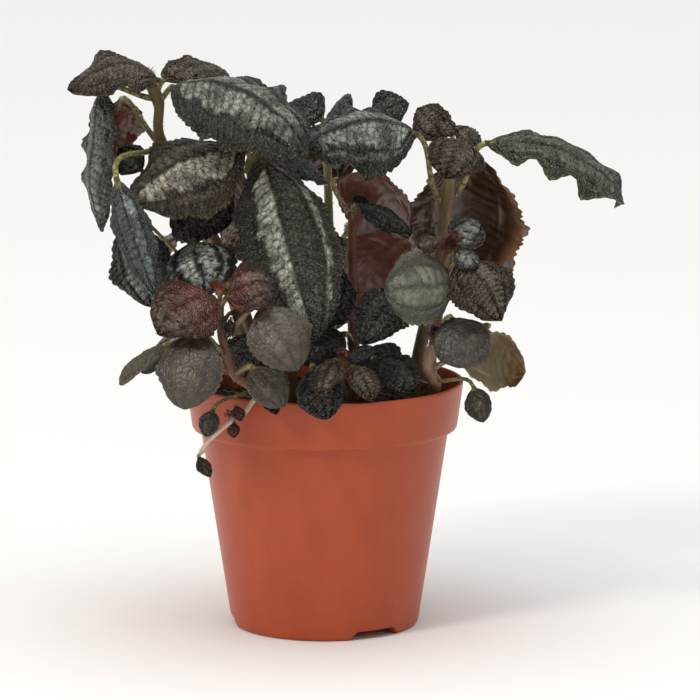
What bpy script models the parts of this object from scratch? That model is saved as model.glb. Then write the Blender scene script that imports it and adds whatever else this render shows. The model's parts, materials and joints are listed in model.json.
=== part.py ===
"""Potted friendship plant: a terracotta-coloured grower pot, its soil, leafy stems and quilted leaves.

Metres, +Z up. The pot stands on z = 0 round the Z axis, and -Y is the side that the photograph shows.
Sizes and places are written in millimetres and scaled by MM.
"""

import math
from collections import namedtuple

import bpy
import numpy as np

MM = 0.001

# Pot, a 12 cm grower pot: radii of its outer side and the heights where they hold
POT_HEIGHT = 107.0
RIM_RADIUS = 60.0
RIM_FOOT_RADIUS = 57.4
RIM_HEIGHT = 21.0
WALL_TOP_RADIUS = 53.4
BASE_RADIUS = 40.5
WALL = 1.4
POT_STEPS = 40
FLOOR_LIFT = 4.0
DISC_RADIUS = 18.0
NOTCH_ANGLES = (-57.0, 63.0, 183.0)
NOTCH_WIDTH = 35.0
NOTCH_HEIGHT = 3.8
DRAIN_HOLES = 6
DRAIN_RADIUS = 3.0
DRAIN_CIRCLE = 28.0

# Soil, which fills the pot from its floor to below the rim
SOIL_TOP = 97.0
SOIL_RINGS = 4
SOIL_STEPS = 30
SOIL_LUMP = 1.0
CLEAR = 0.35

# Leaves: a blade's thickness, a stalk's radius, and how far a margin is notched and waved
BLADE = 0.9
STALK = 1.15
YOUNG_STALK = 0.8
TEETH = 0.1
RIPPLE = 0.35
YOUNG_BLUNT = 0.6
STALK_RINGS = (3, 2)
FINENESS = ((48.0, 12), (34.0, 10), (0.0, 7))
YOUNG_RINGS = 5

Stem = namedtuple("Stem", "name radii path")
Leaf = namedtuple("Leaf", "name stem joint base tip face arch width fold blunt tone")
Young = namedtuple("Young", "stem joint base tip face arch width fold")

# radii are those of a stem's foot and top, and the path starts inside the soil
STEMS = [
    Stem("left_tall", (2.6, 2.0),
         [(-24, 6, 82), (-27, 6, 110), (-44, 6, 160), (-69, 5, 206), (-71, 4, 226), (-74, 3, 234)]),
    Stem("centre_left", (2.4, 1.8),
         [(-12, -8, 82), (-14, -9, 110), (-21, -12, 150), (-31, -14, 196), (-30, -14, 207)]),
    Stem("front_left", (1.9, 1.5),
         [(-21, -32, 82), (-23, -38, 101), (-27, -45, 110), (-33, -51, 114), (-38, -54, 119),
          (-41, -55, 127), (-43, -56, 136), (-44, -56, 151)]),
    Stem("centre", (2.4, 1.7),
         [(13, 6, 82), (13, 6, 110), (12, 6, 133), (12, 8, 158), (12, 8, 170), (14, 10, 178)]),
    Stem("right_tall", (3.0, 2.6),
         [(38, 14, 82), (40, 13, 110), (50, 8, 157), (52, 5, 179), (54, 3, 193), (56, 1, 208)]),
    Stem("right_front", (2.5, 1.8),
         [(44, -18, 82), (46, -20, 102), (47, -26, 110), (44, -30, 118), (46, -31, 126),
          (49, -32, 147), (53, -32, 168)]),
    Stem("front_small", (1.8, 1.4), [(6, -32, 82), (6, -34, 100), (7, -42, 119), (7, -44, 123)]),
    Stem("back_tall", (2.4, 1.7), [(4, 34, 82), (3, 36, 120), (2, 40, 170), (1, 42, 206)]),
    Stem("back_left", (2.3, 1.7), [(-28, 28, 82), (-36, 32, 120), (-50, 38, 165)]),
    Stem("back_right", (2.3, 1.7), [(43, 20, 82), (47, 25, 110), (54, 42, 164)]),
    Stem("runner", (1.1, 0.8),
         [(-13, -41, 82), (-17, -45, 101), (-23, -51, 111), (-28, -57, 110), (-34, -59, 103),
          (-41, -58, 98), (-49, -55, 90), (-52, -53, 85)]),
]

# joint is the height where a stalk leaves its stem. face is the way the upper side looks: the angle
# from +X and the lift. arch is the midrib's rise, fold how far each half bends down, in degrees, and
# blunt runs from 0 for a pointed tip to 1 for a round one.
LEAVES = [
    Leaf("left_crown", "left_tall", 232,
         (-71, 0, 237), (-108, -12, 233), (-92, 70), 10, 38, 10, 0.8, "bronze"),
    Leaf("left_crown_back", "left_tall", 231,
         (-69, 8, 236), (-42, 32, 237), (-85, 66), 5, 26, 8, 0.8, "dark"),
    Leaf("left_arching", "left_tall", 228,
         (-65, 0, 234), (-5, -36, 210), (-78, 54), 15, 54, 28, 0.6, "silver"),
    Leaf("left_hanging", "left_tall", 229,
         (-95, -2, 232), (-97, -8, 172), (-150, 12), 4, 34, 18, 0, "dark"),
    Leaf("left_back_shade", "left_tall", 209,
         (-88, 22, 226), (-93, 40, 192), (120, 30), 6, 30, 15, 0.4, "dark"),
    Leaf("left_lower", "left_tall", 208,
         (-87, -42, 199), (-70, -48, 149), (-104, 14), 4, 18, 16, 0.3, "dark"),
    Leaf("left_inner", "left_tall", 150,
         (-56, -22, 170), (-50, -40, 149), (-92, 34), 5, 36, 12, 0.5, "silver"),
    Leaf("left_shade", "left_tall", 174,
         (-64, -7, 190), (-40, -12, 177), (-88, 14), 3, 40, 10, 0.5, "dark"),
    Leaf("centre_great", "centre_left", 202,
         (-26, -17, 206), (-4, -54, 133), (-88, 18), 8, 47, 20, 0.9, "silver"),
    Leaf("centre_broad", "centre_left", 205,
         (-34, -18, 209), (-83, -30, 188), (-112, 52), 9, 58, 24, 0.5, "silver"),
    Leaf("centre_back", "centre_left", 202,
         (-27, -8, 207), (1, 10, 191), (-60, 70), 5, 32, 10, 0.4, "dark"),
    Leaf("centre_behind", "centre_left", 185,
         (-36, 9, 196), (-61, 22, 171), (75, 40), 2, 36, 10, 0.5, "dark"),
    Leaf("centre_inner", "centre_left", 158,
         (-12, 6, 175), (-5, 0, 142), (-92, 20), 5, 38, 10, 0.4, "dark"),
    Leaf("front_broad", "front_left", 129,
         (-53, -66, 139), (-58, -79, 108), (-108, 28), 5, 32, 14, 1, "bronze"),
    Leaf("front_right", "front_left", 135,
         (-26, -64, 149), (-11, -76, 124), (-82, 24), 4, 28, 14, 0.8, "bronze"),
    Leaf("front_round", "front_left", 119,
         (-30, -62, 123), (-17, -72, 108), (-68, 40), 3, 21, 12, 1, "bronze"),
    Leaf("front_edge", "front_left", 121,
         (-66, -59, 132), (-86, -63, 116), (-160, 30), 3, 18, 12, 0.6, "silver"),
    Leaf("front_red", "front_left", 149,
         (-47, -58, 152), (-70, -70, 139), (-108, 40), 7, 38, 10, 0.9, "red"),
    Leaf("front_red_right", "front_left", 149,
         (-41, -60, 152), (-20, -62, 157), (-84, 48), 6, 29, 12, 0.9, "red"),
    Leaf("right_long", "right_tall", 186,
         (70, -2, 210), (130, -6, 185), (-98, 66), 11, 35, 12, 1, "green"),
    Leaf("right_cupped", "right_tall", 183,
         (39, -8, 215), (-8, -22, 211), (-90, 56), 10, 54, 28, 0.8, "silver"),
    Leaf("right_crown", "right_tall", 205,
         (60, -8, 212), (51, -22, 197), (-95, 28), 5, 28, 14, 0.7, "bronze"),
    Leaf("right_hanging", "right_tall", 189,
         (63, 20, 203), (60, 30, 137), (84, 14), 9, 56, 22, 0.5, "dark"),
    Leaf("centre_red", "centre", 176, (6, 22, 191), (38, 16, 166), (76, 42), 7, 48, 15, 0.5, "dark"),
    Leaf("centre_red_low", "centre", 159, (9, 16, 165), (36, 20, 136), (84, 10), 5, 42, 12, 0.5, "dark"),
    Leaf("centre_shade", "centre", 147, (5, -5, 158), (-9, -14, 130), (-94, 20), 4, 34, 10, 0.5, "dark"),
    Leaf("right_round", "right_front", 149,
         (54, -38, 154), (25, -44, 152), (-94, 18), 3, 34, 8, 1, "silver"),
    Leaf("right_quilted", "right_front", 160,
         (57, -36, 164), (75, -48, 140), (-72, 30), 6, 32, 14, 0.6, "bronze"),
    Leaf("right_low", "right_front", 124,
         (68, -41, 137), (48, -51, 124), (-92, 38), 4, 28, 14, 1, "bronze"),
    Leaf("right_olive", "right_front", 116,
         (58, -27, 122), (86, -33, 116), (70, 34), 4, 36, 8, 1, "green"),
    Leaf("right_dark", "right_front", 138,
         (34, -24, 150), (15, -40, 129), (-104, 24), 5, 26, 12, 0.3, "dark"),
    Leaf("soil_dark", "right_front", 107, (22, -30, 121), (38, -42, 109), (-82, 50), 3, 24, 12, 0.6, "dark"),
    Leaf("rim_dark", "front_small", 110,
         (-5, -54, 121), (1, -68, 102), (-86, 30), 3, 21, 12, 1, "dark"),
    Leaf("shade_left", "centre_left", 118,
         (-28, -20, 130), (-38, -32, 111), (-110, 34), 4, 30, 10, 0.6, "dark"),
    Leaf("shade_centre", "centre", 122, (8, -8, 128), (-11, -16, 117), (-95, 40), 4, 26, 10, 0.6, "dark"),
    Leaf("shade_right", "centre", 110, (16, -6, 120), (31, -18, 111), (-80, 50), 4, 26, 10, 0.6, "dark"),
    Leaf("back_crown_left", "back_tall", 204,
         (-1, 41, 215), (-17, 49, 221), (-100, 55), 4, 24, 8, 0.4, "dark"),
    Leaf("back_crown_front", "back_tall", 204,
         (3, 31, 215), (12, 21, 224), (-100, 60), 4, 26, 8, 0.4, "dark"),
    Leaf("back_crown_right", "back_tall", 199,
         (21, 40, 213), (37, 38, 223), (-80, 55), 4, 26, 8, 0.4, "dark"),
    Leaf("back_crown_rear", "back_tall", 204, (2, 49, 212), (6, 94, 182), (90, 50), 9, 44, 14, 0.4, "dark"),
    Leaf("back_mid_left", "back_tall", 163,
         (-14, 54, 178), (-44, 88, 148), (120, 40), 8, 40, 14, 0.4, "dark"),
    Leaf("back_mid_right", "back_tall", 157,
         (16, 52, 170), (40, 88, 140), (60, 40), 8, 42, 14, 0.4, "dark"),
    Leaf("back_low", "back_tall", 129, (2, 54, 140), (0, 90, 112), (90, 45), 6, 38, 12, 0.4, "dark"),
    Leaf("back_left_outer", "back_left", 159,
         (-58, 44, 166), (-84, 70, 138), (150, 45), 7, 38, 14, 0.4, "dark"),
    Leaf("back_left_low", "back_left", 121,
         (-50, 32, 128), (-80, 46, 104), (160, 45), 5, 34, 12, 0.4, "dark"),
    Leaf("back_right_outer", "back_right", 159,
         (60, 50, 166), (74, 88, 134), (60, 45), 7, 38, 14, 0.4, "dark"),
    Leaf("back_right_low", "back_right", 122,
         (56, 38, 128), (80, 52, 104), (25, 45), 5, 34, 12, 0.4, "dark"),
]

# Young leaves, bud leaves and dried flower scales, fused to the stem that they grow from
YOUNG = [
    Young("left_tall", 191, (-78, -8, 199), (-88, -10, 209), (-110, 40), 3, 16, 20),
    Young("left_tall", 233, (-75, 7, 237), (-80, 13, 240), (-60, 60), 1, 8, 10),
    Young("left_tall", 140, (-83, -22, 178), (-73, -25, 142), (-98, 14), 4, 28, 14),
    Young("centre_left", 206, (-30, -20, 209), (-33, -28, 212), (-120, 50), 1, 8, 10),
    Young("centre_left", 206, (-28, -10, 208), (-24, -6, 209), (-60, 60), 1, 8, 10),
    Young("front_left", 150, (-44, -60, 155), (-45, -65, 160), (-100, 60), 1, 7, 10),
    Young("front_left", 150, (-43, -54, 153), (-40, -50, 154), (-80, 60), 1, 7, 10),
    Young("front_left", 140, (-39, -55, 145), (-34, -55, 144), (-80, 30), 1, 7, 10),
    Young("front_left", 136, (-41, -60, 141), (-38, -62, 138), (-80, 20), 1, 6, 10),
    Young("front_left", 118, (-70, -46, 128), (-77, -48, 118), (-120, 20), 1, 12, 10),
    Young("front_left", 112, (-47, -58, 104), (-50, -60, 93), (-110, 20), 1, 10, 14),
    Young("centre", 174, (14, 0, 183), (37, -12, 171), (-70, 50), 3, 14, 20),
    Young("centre", 176, (14, 14, 180), (18, 20, 183), (-60, 50), 1, 9, 10),
    Young("right_tall", 206, (52, 4, 211), (40, 22, 223), (-120, 40), 3, 18, 12),
    Young("right_tall", 207, (58, 2, 210), (66, 14, 213), (-70, 50), 2, 15, 12),
    Young("right_tall", 206, (55, 4, 212), (51, 9, 219), (-120, 50), 1, 8, 10),
    Young("right_front", 165, (55, -28, 169), (66, -18, 178), (-86, 36), 3, 18, 10),
    Young("right_front", 165, (51, -32, 170), (39, -34, 170), (-100, 70), 2, 13, 10),
    Young("right_front", 166, (54, -34, 171), (56, -40, 177), (-90, 40), 1, 7, 10),
    Young("right_front", 164, (55, -38, 168), (65, -42, 162), (-80, 40), 2, 13, 14),
    Young("right_front", 111, (63, -45, 111), (67, -49, 97), (-86, 14), 1, 12, 8),
    Young("front_small", 121, (4, -50, 124), (-2, -74, 114), (-98, 36), 2, 15, 12),
    Young("front_small", 121, (9, -44, 124), (21, -48, 128), (-80, 60), 1, 12, 10),
    Young("front_small", 117, (13, -50, 121), (20, -62, 109), (-76, 30), 2, 15, 12),
    Young("front_small", 122, (7, -42, 124), (9, -40, 127), (-90, 30), 1, 7, 10),
    Young("runner", 110, (-25, -58, 110), (-20, -66, 104), (-70, 50), 1, 9, 10),
    Young("runner", 103, (-37, -61, 106), (-35, -66, 101), (-80, 30), 1, 6, 10),
    Young("runner", 101, (-38, -62, 99), (-38, -67, 94), (-100, 40), 1, 6, 10),
    Young("runner", 86, (-53, -53, 83), (-48, -56, 75), (-60, 20), 1, 8, 24),
    Young("back_tall", 204, (-3, 47, 209), (-9, 53, 215), (120, 50), 1, 9, 10),
    Young("back_left", 163, (-50, 34, 168), (-54, 24, 172), (-90, 60), 1, 12, 10),
    Young("back_left", 163, (-48, 42, 168), (-42, 52, 172), (60, 60), 1, 12, 10),
    Young("back_right", 162, (52, 46, 168), (46, 54, 173), (110, 60), 1, 12, 10),
    Young("back_right", 162, (57, 45, 167), (64, 52, 170), (50, 60), 1, 12, 10),
]

# Colours as seen, in sRGB, with the roughness of each finish
FINISHES = {
    "pot": ("terracotta_plastic", (0.69, 0.33, 0.23), 0.45),
    "soil": ("potting_soil", (0.06, 0.05, 0.04), 0.95),
    "stem": ("stem_skin", (0.42, 0.33, 0.22), 0.6),
    "silver": ("leaf_silver", (0.36, 0.40, 0.36), 0.5),
    "bronze": ("leaf_bronze", (0.33, 0.27, 0.22), 0.55),
    "dark": ("leaf_dark", (0.17, 0.18, 0.15), 0.55),
    "green": ("leaf_grey_green", (0.33, 0.35, 0.28), 0.5),
    "red": ("leaf_young_red", (0.38, 0.20, 0.15), 0.5),
}


def clear_scene():
    for thing in list(bpy.data.objects):
        bpy.data.objects.remove(thing, do_unlink=True)


def new_collection(name, hidden=False):
    group = bpy.data.collections.new(name)
    group.hide_render = hidden
    bpy.context.scene.collection.children.link(group)
    return group


def finish_material(key):
    """The Principled material of this finish, made once."""
    name, colour, roughness = FINISHES[key]
    if name in bpy.data.materials:
        return bpy.data.materials[name]
    material = bpy.data.materials.new(name)
    material.use_nodes = True
    shader = material.node_tree.nodes["Principled BSDF"]
    linear = [((c + 0.055) / 1.055) ** 2.4 for c in colour]
    shader.inputs["Base Color"].default_value = (*linear, 1.0)
    shader.inputs["Roughness"].default_value = roughness
    shader.inputs["Metallic"].default_value = 0.0
    material.diffuse_color = (*linear, 1.0)
    return material


def mesh_object(name, points, faces, group, material=None):
    """An object of this mesh, its points given in millimetres."""
    mesh = bpy.data.meshes.new(name)
    mesh.from_pydata((np.asarray(points, float) * MM).tolist(), [], np.asarray(faces).tolist())
    mesh.update()
    thing = bpy.data.objects.new(name, mesh)
    group.objects.link(thing)
    if material:
        mesh.materials.append(material)
    return thing


def shade_round(thing):
    thing.data.polygons.foreach_set("use_smooth", [True] * len(thing.data.polygons))


def applied(thing):
    """Turns the object's evaluated shape into its plain mesh, with the modifiers gone."""
    graph = bpy.context.evaluated_depsgraph_get()
    mesh = bpy.data.meshes.new_from_object(thing.evaluated_get(graph))
    thing.modifiers.clear()
    thing.data = mesh


def cut(thing, cutters):
    """Takes the cutters' collection away from the object."""
    modifier = thing.modifiers.new("cut", "BOOLEAN")
    modifier.operation = "DIFFERENCE"
    modifier.solver = "EXACT"
    modifier.operand_type = "COLLECTION"
    modifier.collection = cutters


def unit(vector):
    vector = np.asarray(vector, float)
    return vector / np.linalg.norm(vector)


def aim(turn, lift):
    turn, lift = math.radians(turn), math.radians(lift)
    return np.array([math.cos(lift) * math.cos(turn), math.cos(lift) * math.sin(turn), math.sin(lift)])


def smooth_curve(points, per_span):
    """Catmull-Rom curve through the points: 0.5 (2b + (c-a)t + (2a-5b+4c-d)t^2 + (3b-a-3c+d)t^3)."""
    p = np.array(points, float)
    p = np.vstack([2 * p[0] - p[1], p, 2 * p[-1] - p[-2]])
    t = np.linspace(0, 1, per_span, endpoint=False)[:, None]
    spans = []
    for a, b, c, d in zip(p, p[1:], p[2:], p[3:]):
        bend = (2 * a - 5 * b + 4 * c - d) * t**2 + (3 * b - a - 3 * c + d) * t**3
        spans.append(0.5 * (2 * b + (c - a) * t + bend))
    return np.vstack([*spans, p[-2][None]])


def joint_on(stem, height, near):
    """Point, direction and radius where the stem passes this height, the pass nearest to a place."""
    path = smooth_curve(stem.path, 6)
    over = path[:, 2] >= height
    passes = np.flatnonzero(over[1:] != over[:-1])
    if not len(passes):
        passes = np.array([len(path) - 2])
    k = passes[np.argmin(np.linalg.norm(path[passes] - near, axis=1))]
    a, b = path[k], path[k + 1]
    share = float(np.clip((height - a[2]) / (b[2] - a[2]), 0, 1))
    along = (k + share) / (len(path) - 1)
    radius = stem.radii[0] + (stem.radii[1] - stem.radii[0]) * along
    return a + (b - a) * share, unit(b - a), radius


def loft_faces(rings, size):
    """Triangles over closed rings of points and their end caps, split alike on a blade's two faces."""
    faces = []
    for k in range(rings - 1):
        for j in range(size):
            a, b = k * size + j, k * size + (j + 1) % size
            c, d = b + size, a + size
            under = size // 2 <= j < size - 1
            faces += [(a, b, d), (b, c, d)] if under else [(a, b, c), (a, c, d)]
    last = (rings - 1) * size
    for j in range(1, size - 1):
        faces.append((0, j + 1, j))
        faces.append((last, last + j, last + j + 1))
    return faces


def stalk_rings(start, lift, base, slope, left, radius, angles, count):
    """Round rings along a Bezier curve from the stem to the blade."""
    reach = np.linalg.norm(base - start)
    p0, p1, p2, p3 = start, start + lift * reach * 0.4, base - slope * reach * 0.35, base
    rings = []
    for q in np.linspace(0, 0.88, count):
        r = 1 - q
        centre = r**3 * p0 + 3 * r * r * q * p1 + 3 * r * q * q * p2 + q**3 * p3
        along = unit(3 * r * r * (p1 - p0) + 6 * r * q * (p2 - p1) + 3 * q * q * (p3 - p2))
        side = unit(left - along * (left @ along) + 1e-6 * slope)
        over = np.cross(along, side)
        rings.append(centre + radius * (np.outer(np.cos(angles), side) + np.outer(np.sin(angles), over)))
    return rings


def blade_rings(leaf, across, count, left, normal):
    """Flat rings along the blade, and the midrib's slope at its base.

    With u from base to tip, the midrib is base + (tip - base) u + normal arch 4u(1-u), the half
    width is width/2 sin(pi u^(0.8 + 0.2 blunt))^(0.75 - 0.2 blunt), and a point s across it drops
    |s|^1.4 sin(fold) half widths.
    """
    base, tip = np.array(leaf.base, float), np.array(leaf.tip, float)
    u = np.linspace(0.04, 1, count)
    midrib = base + (tip - base) * u[:, None] + normal * (leaf.arch * 4 * u * (1 - u))[:, None]
    slope = (tip - base) + normal * (leaf.arch * 4 * (1 - 2 * u))[:, None]
    slope /= np.linalg.norm(slope, axis=1, keepdims=True)
    up = np.cross(slope, left)
    even = np.arange(count) % 2 == 0
    blunt = getattr(leaf, "blunt", YOUNG_BLUNT)
    bulge = np.sin(math.pi * np.minimum(u, 0.999) ** (0.8 + 0.2 * blunt))
    half = leaf.width / 2 * bulge ** (0.75 - 0.2 * blunt)
    half *= np.where(even, 1 - TEETH, 1.0)
    half[0], half[-1] = 1.6, 0.9
    wave = np.where(even, RIPPLE, -RIPPLE) * min(1.0, leaf.width / 20)
    wave[[0, -1]] = 0
    s = np.concatenate([across, across[::-1]])
    side = np.repeat([0.5, -0.5], len(across)) * BLADE
    bump = np.where(np.abs(s) > 0.9, -1.0, np.where(np.abs(s) > 0.1, 1.0, 0.0))
    fold = math.radians(leaf.fold)
    rings = []
    for k in range(count):
        height = side + wave[k] * bump - np.abs(s) ** 1.4 * half[k] * math.sin(fold)
        rings.append(midrib[k] + np.outer(s * half[k] * math.cos(fold), left) + np.outer(height, up[k]))
    return rings, slope[0]


def leaf_mesh(leaf, stem, across, count, stalk, fused):
    """Points and faces of one leaf: its stalk and its blade in a single loft."""
    base = np.array(leaf.base, float)
    chord = unit(np.subtract(leaf.tip, leaf.base))
    look = aim(*leaf.face)
    normal = unit(look - chord * (look @ chord))
    left = np.cross(normal, chord)
    blade, slope = blade_rings(leaf, across, count, left, normal)
    root, axis, radius = joint_on(stem, leaf.joint, base)
    reach = base - root
    out = unit(reach - axis * (reach @ axis) + 1e-6 * left)
    lift = unit(out + 0.9 * axis * np.clip(unit(reach) @ axis, -0.9, 1.2))
    start = root if fused else root + out * (radius + CLEAR + stalk * abs(lift @ axis))
    size = len(across)
    half_turn = np.pi / size
    angles = half_turn / 2 + np.arange(2 * size) * half_turn
    rings = stalk_rings(start, lift, base, slope, left, stalk, angles, STALK_RINGS[fused]) + blade
    return np.vstack(rings), loft_faces(len(rings), 2 * size)


def fine_across(count):
    return np.linspace(1, -1, count)


def make_leaf(leaf, stem, group):
    length = math.dist(leaf.base, leaf.tip)
    count = next(rings for least, rings in FINENESS if length >= least)
    points, faces = leaf_mesh(leaf, stem, fine_across(5), count, STALK, False)
    thing = mesh_object("leaf_" + leaf.name, points, faces, group, finish_material(leaf.tone))
    shade_round(thing)


def tube(name, path, radii, group, sides=2):
    """A round bar along the path, its radius running evenly from one end to the other."""
    curve = bpy.data.curves.new(name, "CURVE")
    curve.dimensions = "3D"
    curve.bevel_depth = MM
    curve.bevel_resolution = sides
    curve.use_fill_caps = True
    spline = curve.splines.new("POLY")
    spline.points.add(len(path) - 1)
    spline.points.foreach_set("co", np.c_[np.array(path) * MM, np.ones(len(path))].ravel())
    spline.points.foreach_set("radius", np.linspace(*radii, len(path)))
    source = bpy.data.objects.new(name + "_curve", curve)
    group.objects.link(source)
    graph = bpy.context.evaluated_depsgraph_get()
    mesh = bpy.data.meshes.new_from_object(source.evaluated_get(graph))
    bpy.data.objects.remove(source, do_unlink=True)
    thing = bpy.data.objects.new(name, mesh)
    group.objects.link(thing)
    weld = thing.modifiers.new("weld", "WELD")
    weld.merge_threshold = 0.00001
    applied(thing)
    return thing


def make_stem(stem, group, helpers):
    """A stem's bar with its young leaves joined to it."""
    bar = tube("stem_" + stem.name, smooth_curve(stem.path, 2), stem.radii, group)
    bar.data.materials.clear()
    bar.data.materials.append(finish_material("stem"))
    for young in (y for y in YOUNG if y.stem == stem.name):
        points, faces = leaf_mesh(young, stem, fine_across(3), YOUNG_RINGS, YOUNG_STALK, True)
        mesh_object("young", points, faces, helpers)
    if helpers.objects:
        join = bar.modifiers.new("join", "BOOLEAN")
        join.operation = "UNION"
        join.solver = "MANIFOLD"
        join.operand_type = "COLLECTION"
        join.collection = helpers
        applied(bar)
    for thing in list(helpers.objects):
        bpy.data.objects.remove(thing, do_unlink=True)
    shade_round(bar)


def screwed(name, profile, steps, group, material):
    """A profile of (radius, height) points in millimetres, turned once round the Z axis."""
    points = [(r, 0, z) for r, z in profile]
    thing = mesh_object(name, points, [], group, material)
    thing.data.edges.add(len(points) - 1)
    for k, edge in enumerate(thing.data.edges):
        edge.vertices = (k, k + 1)
    screw = thing.modifiers.new("turn", "SCREW")
    screw.steps = screw.render_steps = steps
    screw.use_merge_vertices = True
    screw.merge_threshold = 0.00002
    applied(thing)
    return thing


def pot_profile():
    """The pot's section, down its outer side, under its floor and back up its inner side."""
    step = POT_HEIGHT - RIM_HEIGHT
    inner_base = BASE_RADIUS - WALL
    return [
        (RIM_RADIUS - WALL, POT_HEIGHT - 0.3),
        (RIM_RADIUS - WALL + 0.5, POT_HEIGHT),
        (RIM_RADIUS - 0.2, POT_HEIGHT),
        (RIM_RADIUS, POT_HEIGHT - 1.2),
        (RIM_FOOT_RADIUS, step + 1.6),
        (RIM_FOOT_RADIUS - 0.6, step + 0.3),
        (WALL_TOP_RADIUS + 1.2, step - 0.4),
        (WALL_TOP_RADIUS, step - 2.0),
        (BASE_RADIUS + 0.4, 2.4),
        (BASE_RADIUS - 0.5, 0.5),
        (BASE_RADIUS - 1.4, 0),
        (BASE_RADIUS - 4.0, 0),
        (BASE_RADIUS - 5.2, FLOOR_LIFT),
        (DISC_RADIUS + 3.0, FLOOR_LIFT),
        (DISC_RADIUS, 0),
        (0, 0),
        (0, WALL),
        (DISC_RADIUS - 0.8, WALL),
        (DISC_RADIUS + 2.2, FLOOR_LIFT + WALL),
        (inner_base - 1.6, FLOOR_LIFT + WALL),
        (inner_base + 0.4, FLOOR_LIFT + WALL + 2.0),
        (WALL_TOP_RADIUS - WALL, step - 2.0),
        (RIM_FOOT_RADIUS - WALL, step + WALL),
    ]


def drain_cutters(group):
    """A slanted block for each notch in the foot and a rod for each hole in the floor."""
    for turn in NOTCH_ANGLES:
        half = math.radians(NOTCH_WIDTH) / 2
        bpy.ops.mesh.primitive_cube_add(size=1)
        block = bpy.context.object
        for vertex in block.data.vertices:
            x, y, z = vertex.co
            outer, top = x > 0, z > 0
            radius = BASE_RADIUS + 6 if outer else BASE_RADIUS - 7
            spread = half * (0.78 if top else 1.0) * (1 if y > 0 else -1)
            height = NOTCH_HEIGHT if top else -2
            vertex.co = (radius * MM, radius * math.tan(spread) * MM, height * MM)
        block.rotation_euler.z = math.radians(turn)
        move_to(block, group)
    for k in range(DRAIN_HOLES):
        turn = 2 * math.pi * (k + 0.5) / DRAIN_HOLES
        bpy.ops.mesh.primitive_cylinder_add(
            vertices=12,
            radius=DRAIN_RADIUS * MM,
            depth=12 * MM,
            location=(DRAIN_CIRCLE * math.cos(turn) * MM, DRAIN_CIRCLE * math.sin(turn) * MM,
                      FLOOR_LIFT * MM),
        )
        move_to(bpy.context.object, group)


def move_to(thing, group):
    for other in list(thing.users_collection):
        other.objects.unlink(thing)
    group.objects.link(thing)
    thing.display_type = "WIRE"


def make_pot(group, cutters):
    profile = pot_profile()
    pot = screwed("pot", [*profile, profile[0]], POT_STEPS, group, finish_material("pot"))
    drain_cutters(cutters)
    cut(pot, cutters)
    applied(pot)
    shade_round(pot)


def soil_radius(height):
    """The inner wall's radius at this height, less the clearance."""
    step = POT_HEIGHT - RIM_HEIGHT
    heights = (FLOOR_LIFT + WALL + 2.0, step - 2.0, step + WALL, POT_HEIGHT)
    radii = (BASE_RADIUS - WALL + 0.4, WALL_TOP_RADIUS - WALL, RIM_FOOT_RADIUS - WALL, RIM_RADIUS - WALL)
    return float(np.interp(height, heights, radii)) - CLEAR


def make_soil(group, cutters):
    """Soil with a lumpy top, z = lump (sin 0.21x cos 0.17y + 0.6 sin(0.33x + 0.29y)), and stem holes."""
    floor = FLOOR_LIFT + WALL + CLEAR
    step = POT_HEIGHT - RIM_HEIGHT
    edge = soil_radius(SOIL_TOP)
    top = [(edge * k / SOIL_RINGS, SOIL_TOP) for k in range(SOIL_RINGS + 1)]
    side = [
        (RIM_FOOT_RADIUS - WALL - CLEAR, step + WALL + 2 * CLEAR),
        (WALL_TOP_RADIUS - WALL - CLEAR, step - 2.0 + 2 * CLEAR),
        (soil_radius(floor + 4) - 0.3, floor + 4),
        (soil_radius(floor) - 2.6, floor),
        (0, floor),
    ]
    soil = screwed("soil", top + side, SOIL_STEPS, group, finish_material("soil"))
    count = len(soil.data.vertices)
    at = np.empty(count * 3)
    soil.data.vertices.foreach_get("co", at)
    at = at.reshape(-1, 3) / MM
    x, y = at[:, 0], at[:, 1]
    lump = SOIL_LUMP * (np.sin(0.21 * x) * np.cos(0.17 * y) + 0.6 * np.sin(0.33 * x + 0.29 * y))
    at[:, 2] += np.where((at[:, 2] > SOIL_TOP - 1) & (np.hypot(x, y) < edge - 1), lump, 0)
    soil.data.vertices.foreach_set("co", (at * MM).ravel())
    for thing in list(cutters.objects):
        bpy.data.objects.remove(thing, do_unlink=True)
    for stem in STEMS:
        path = smooth_curve(stem.path, 2)
        path = path[: int(np.argmax(path[:, 2] > SOIL_TOP + 6)) + 1]
        foot = path[0] - unit(path[1] - path[0]) * CLEAR
        radius = stem.radii[0] + CLEAR
        tube("hole", np.vstack([foot, path]), (radius, radius), cutters).display_type = "WIRE"
    cut(soil, cutters)
    applied(soil)


def main():
    clear_scene()
    plant = new_collection("potted_friendship_plant")
    cutters = new_collection("cutters", hidden=True)
    helpers = new_collection("young_leaves", hidden=True)
    stems = {stem.name: stem for stem in STEMS}
    make_pot(plant, cutters)
    make_soil(plant, cutters)
    for stem in STEMS:
        make_stem(stem, plant, helpers)
    for leaf in LEAVES:
        make_leaf(leaf, stems[leaf.stem], plant)


main()
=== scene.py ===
import json
import math

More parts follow.
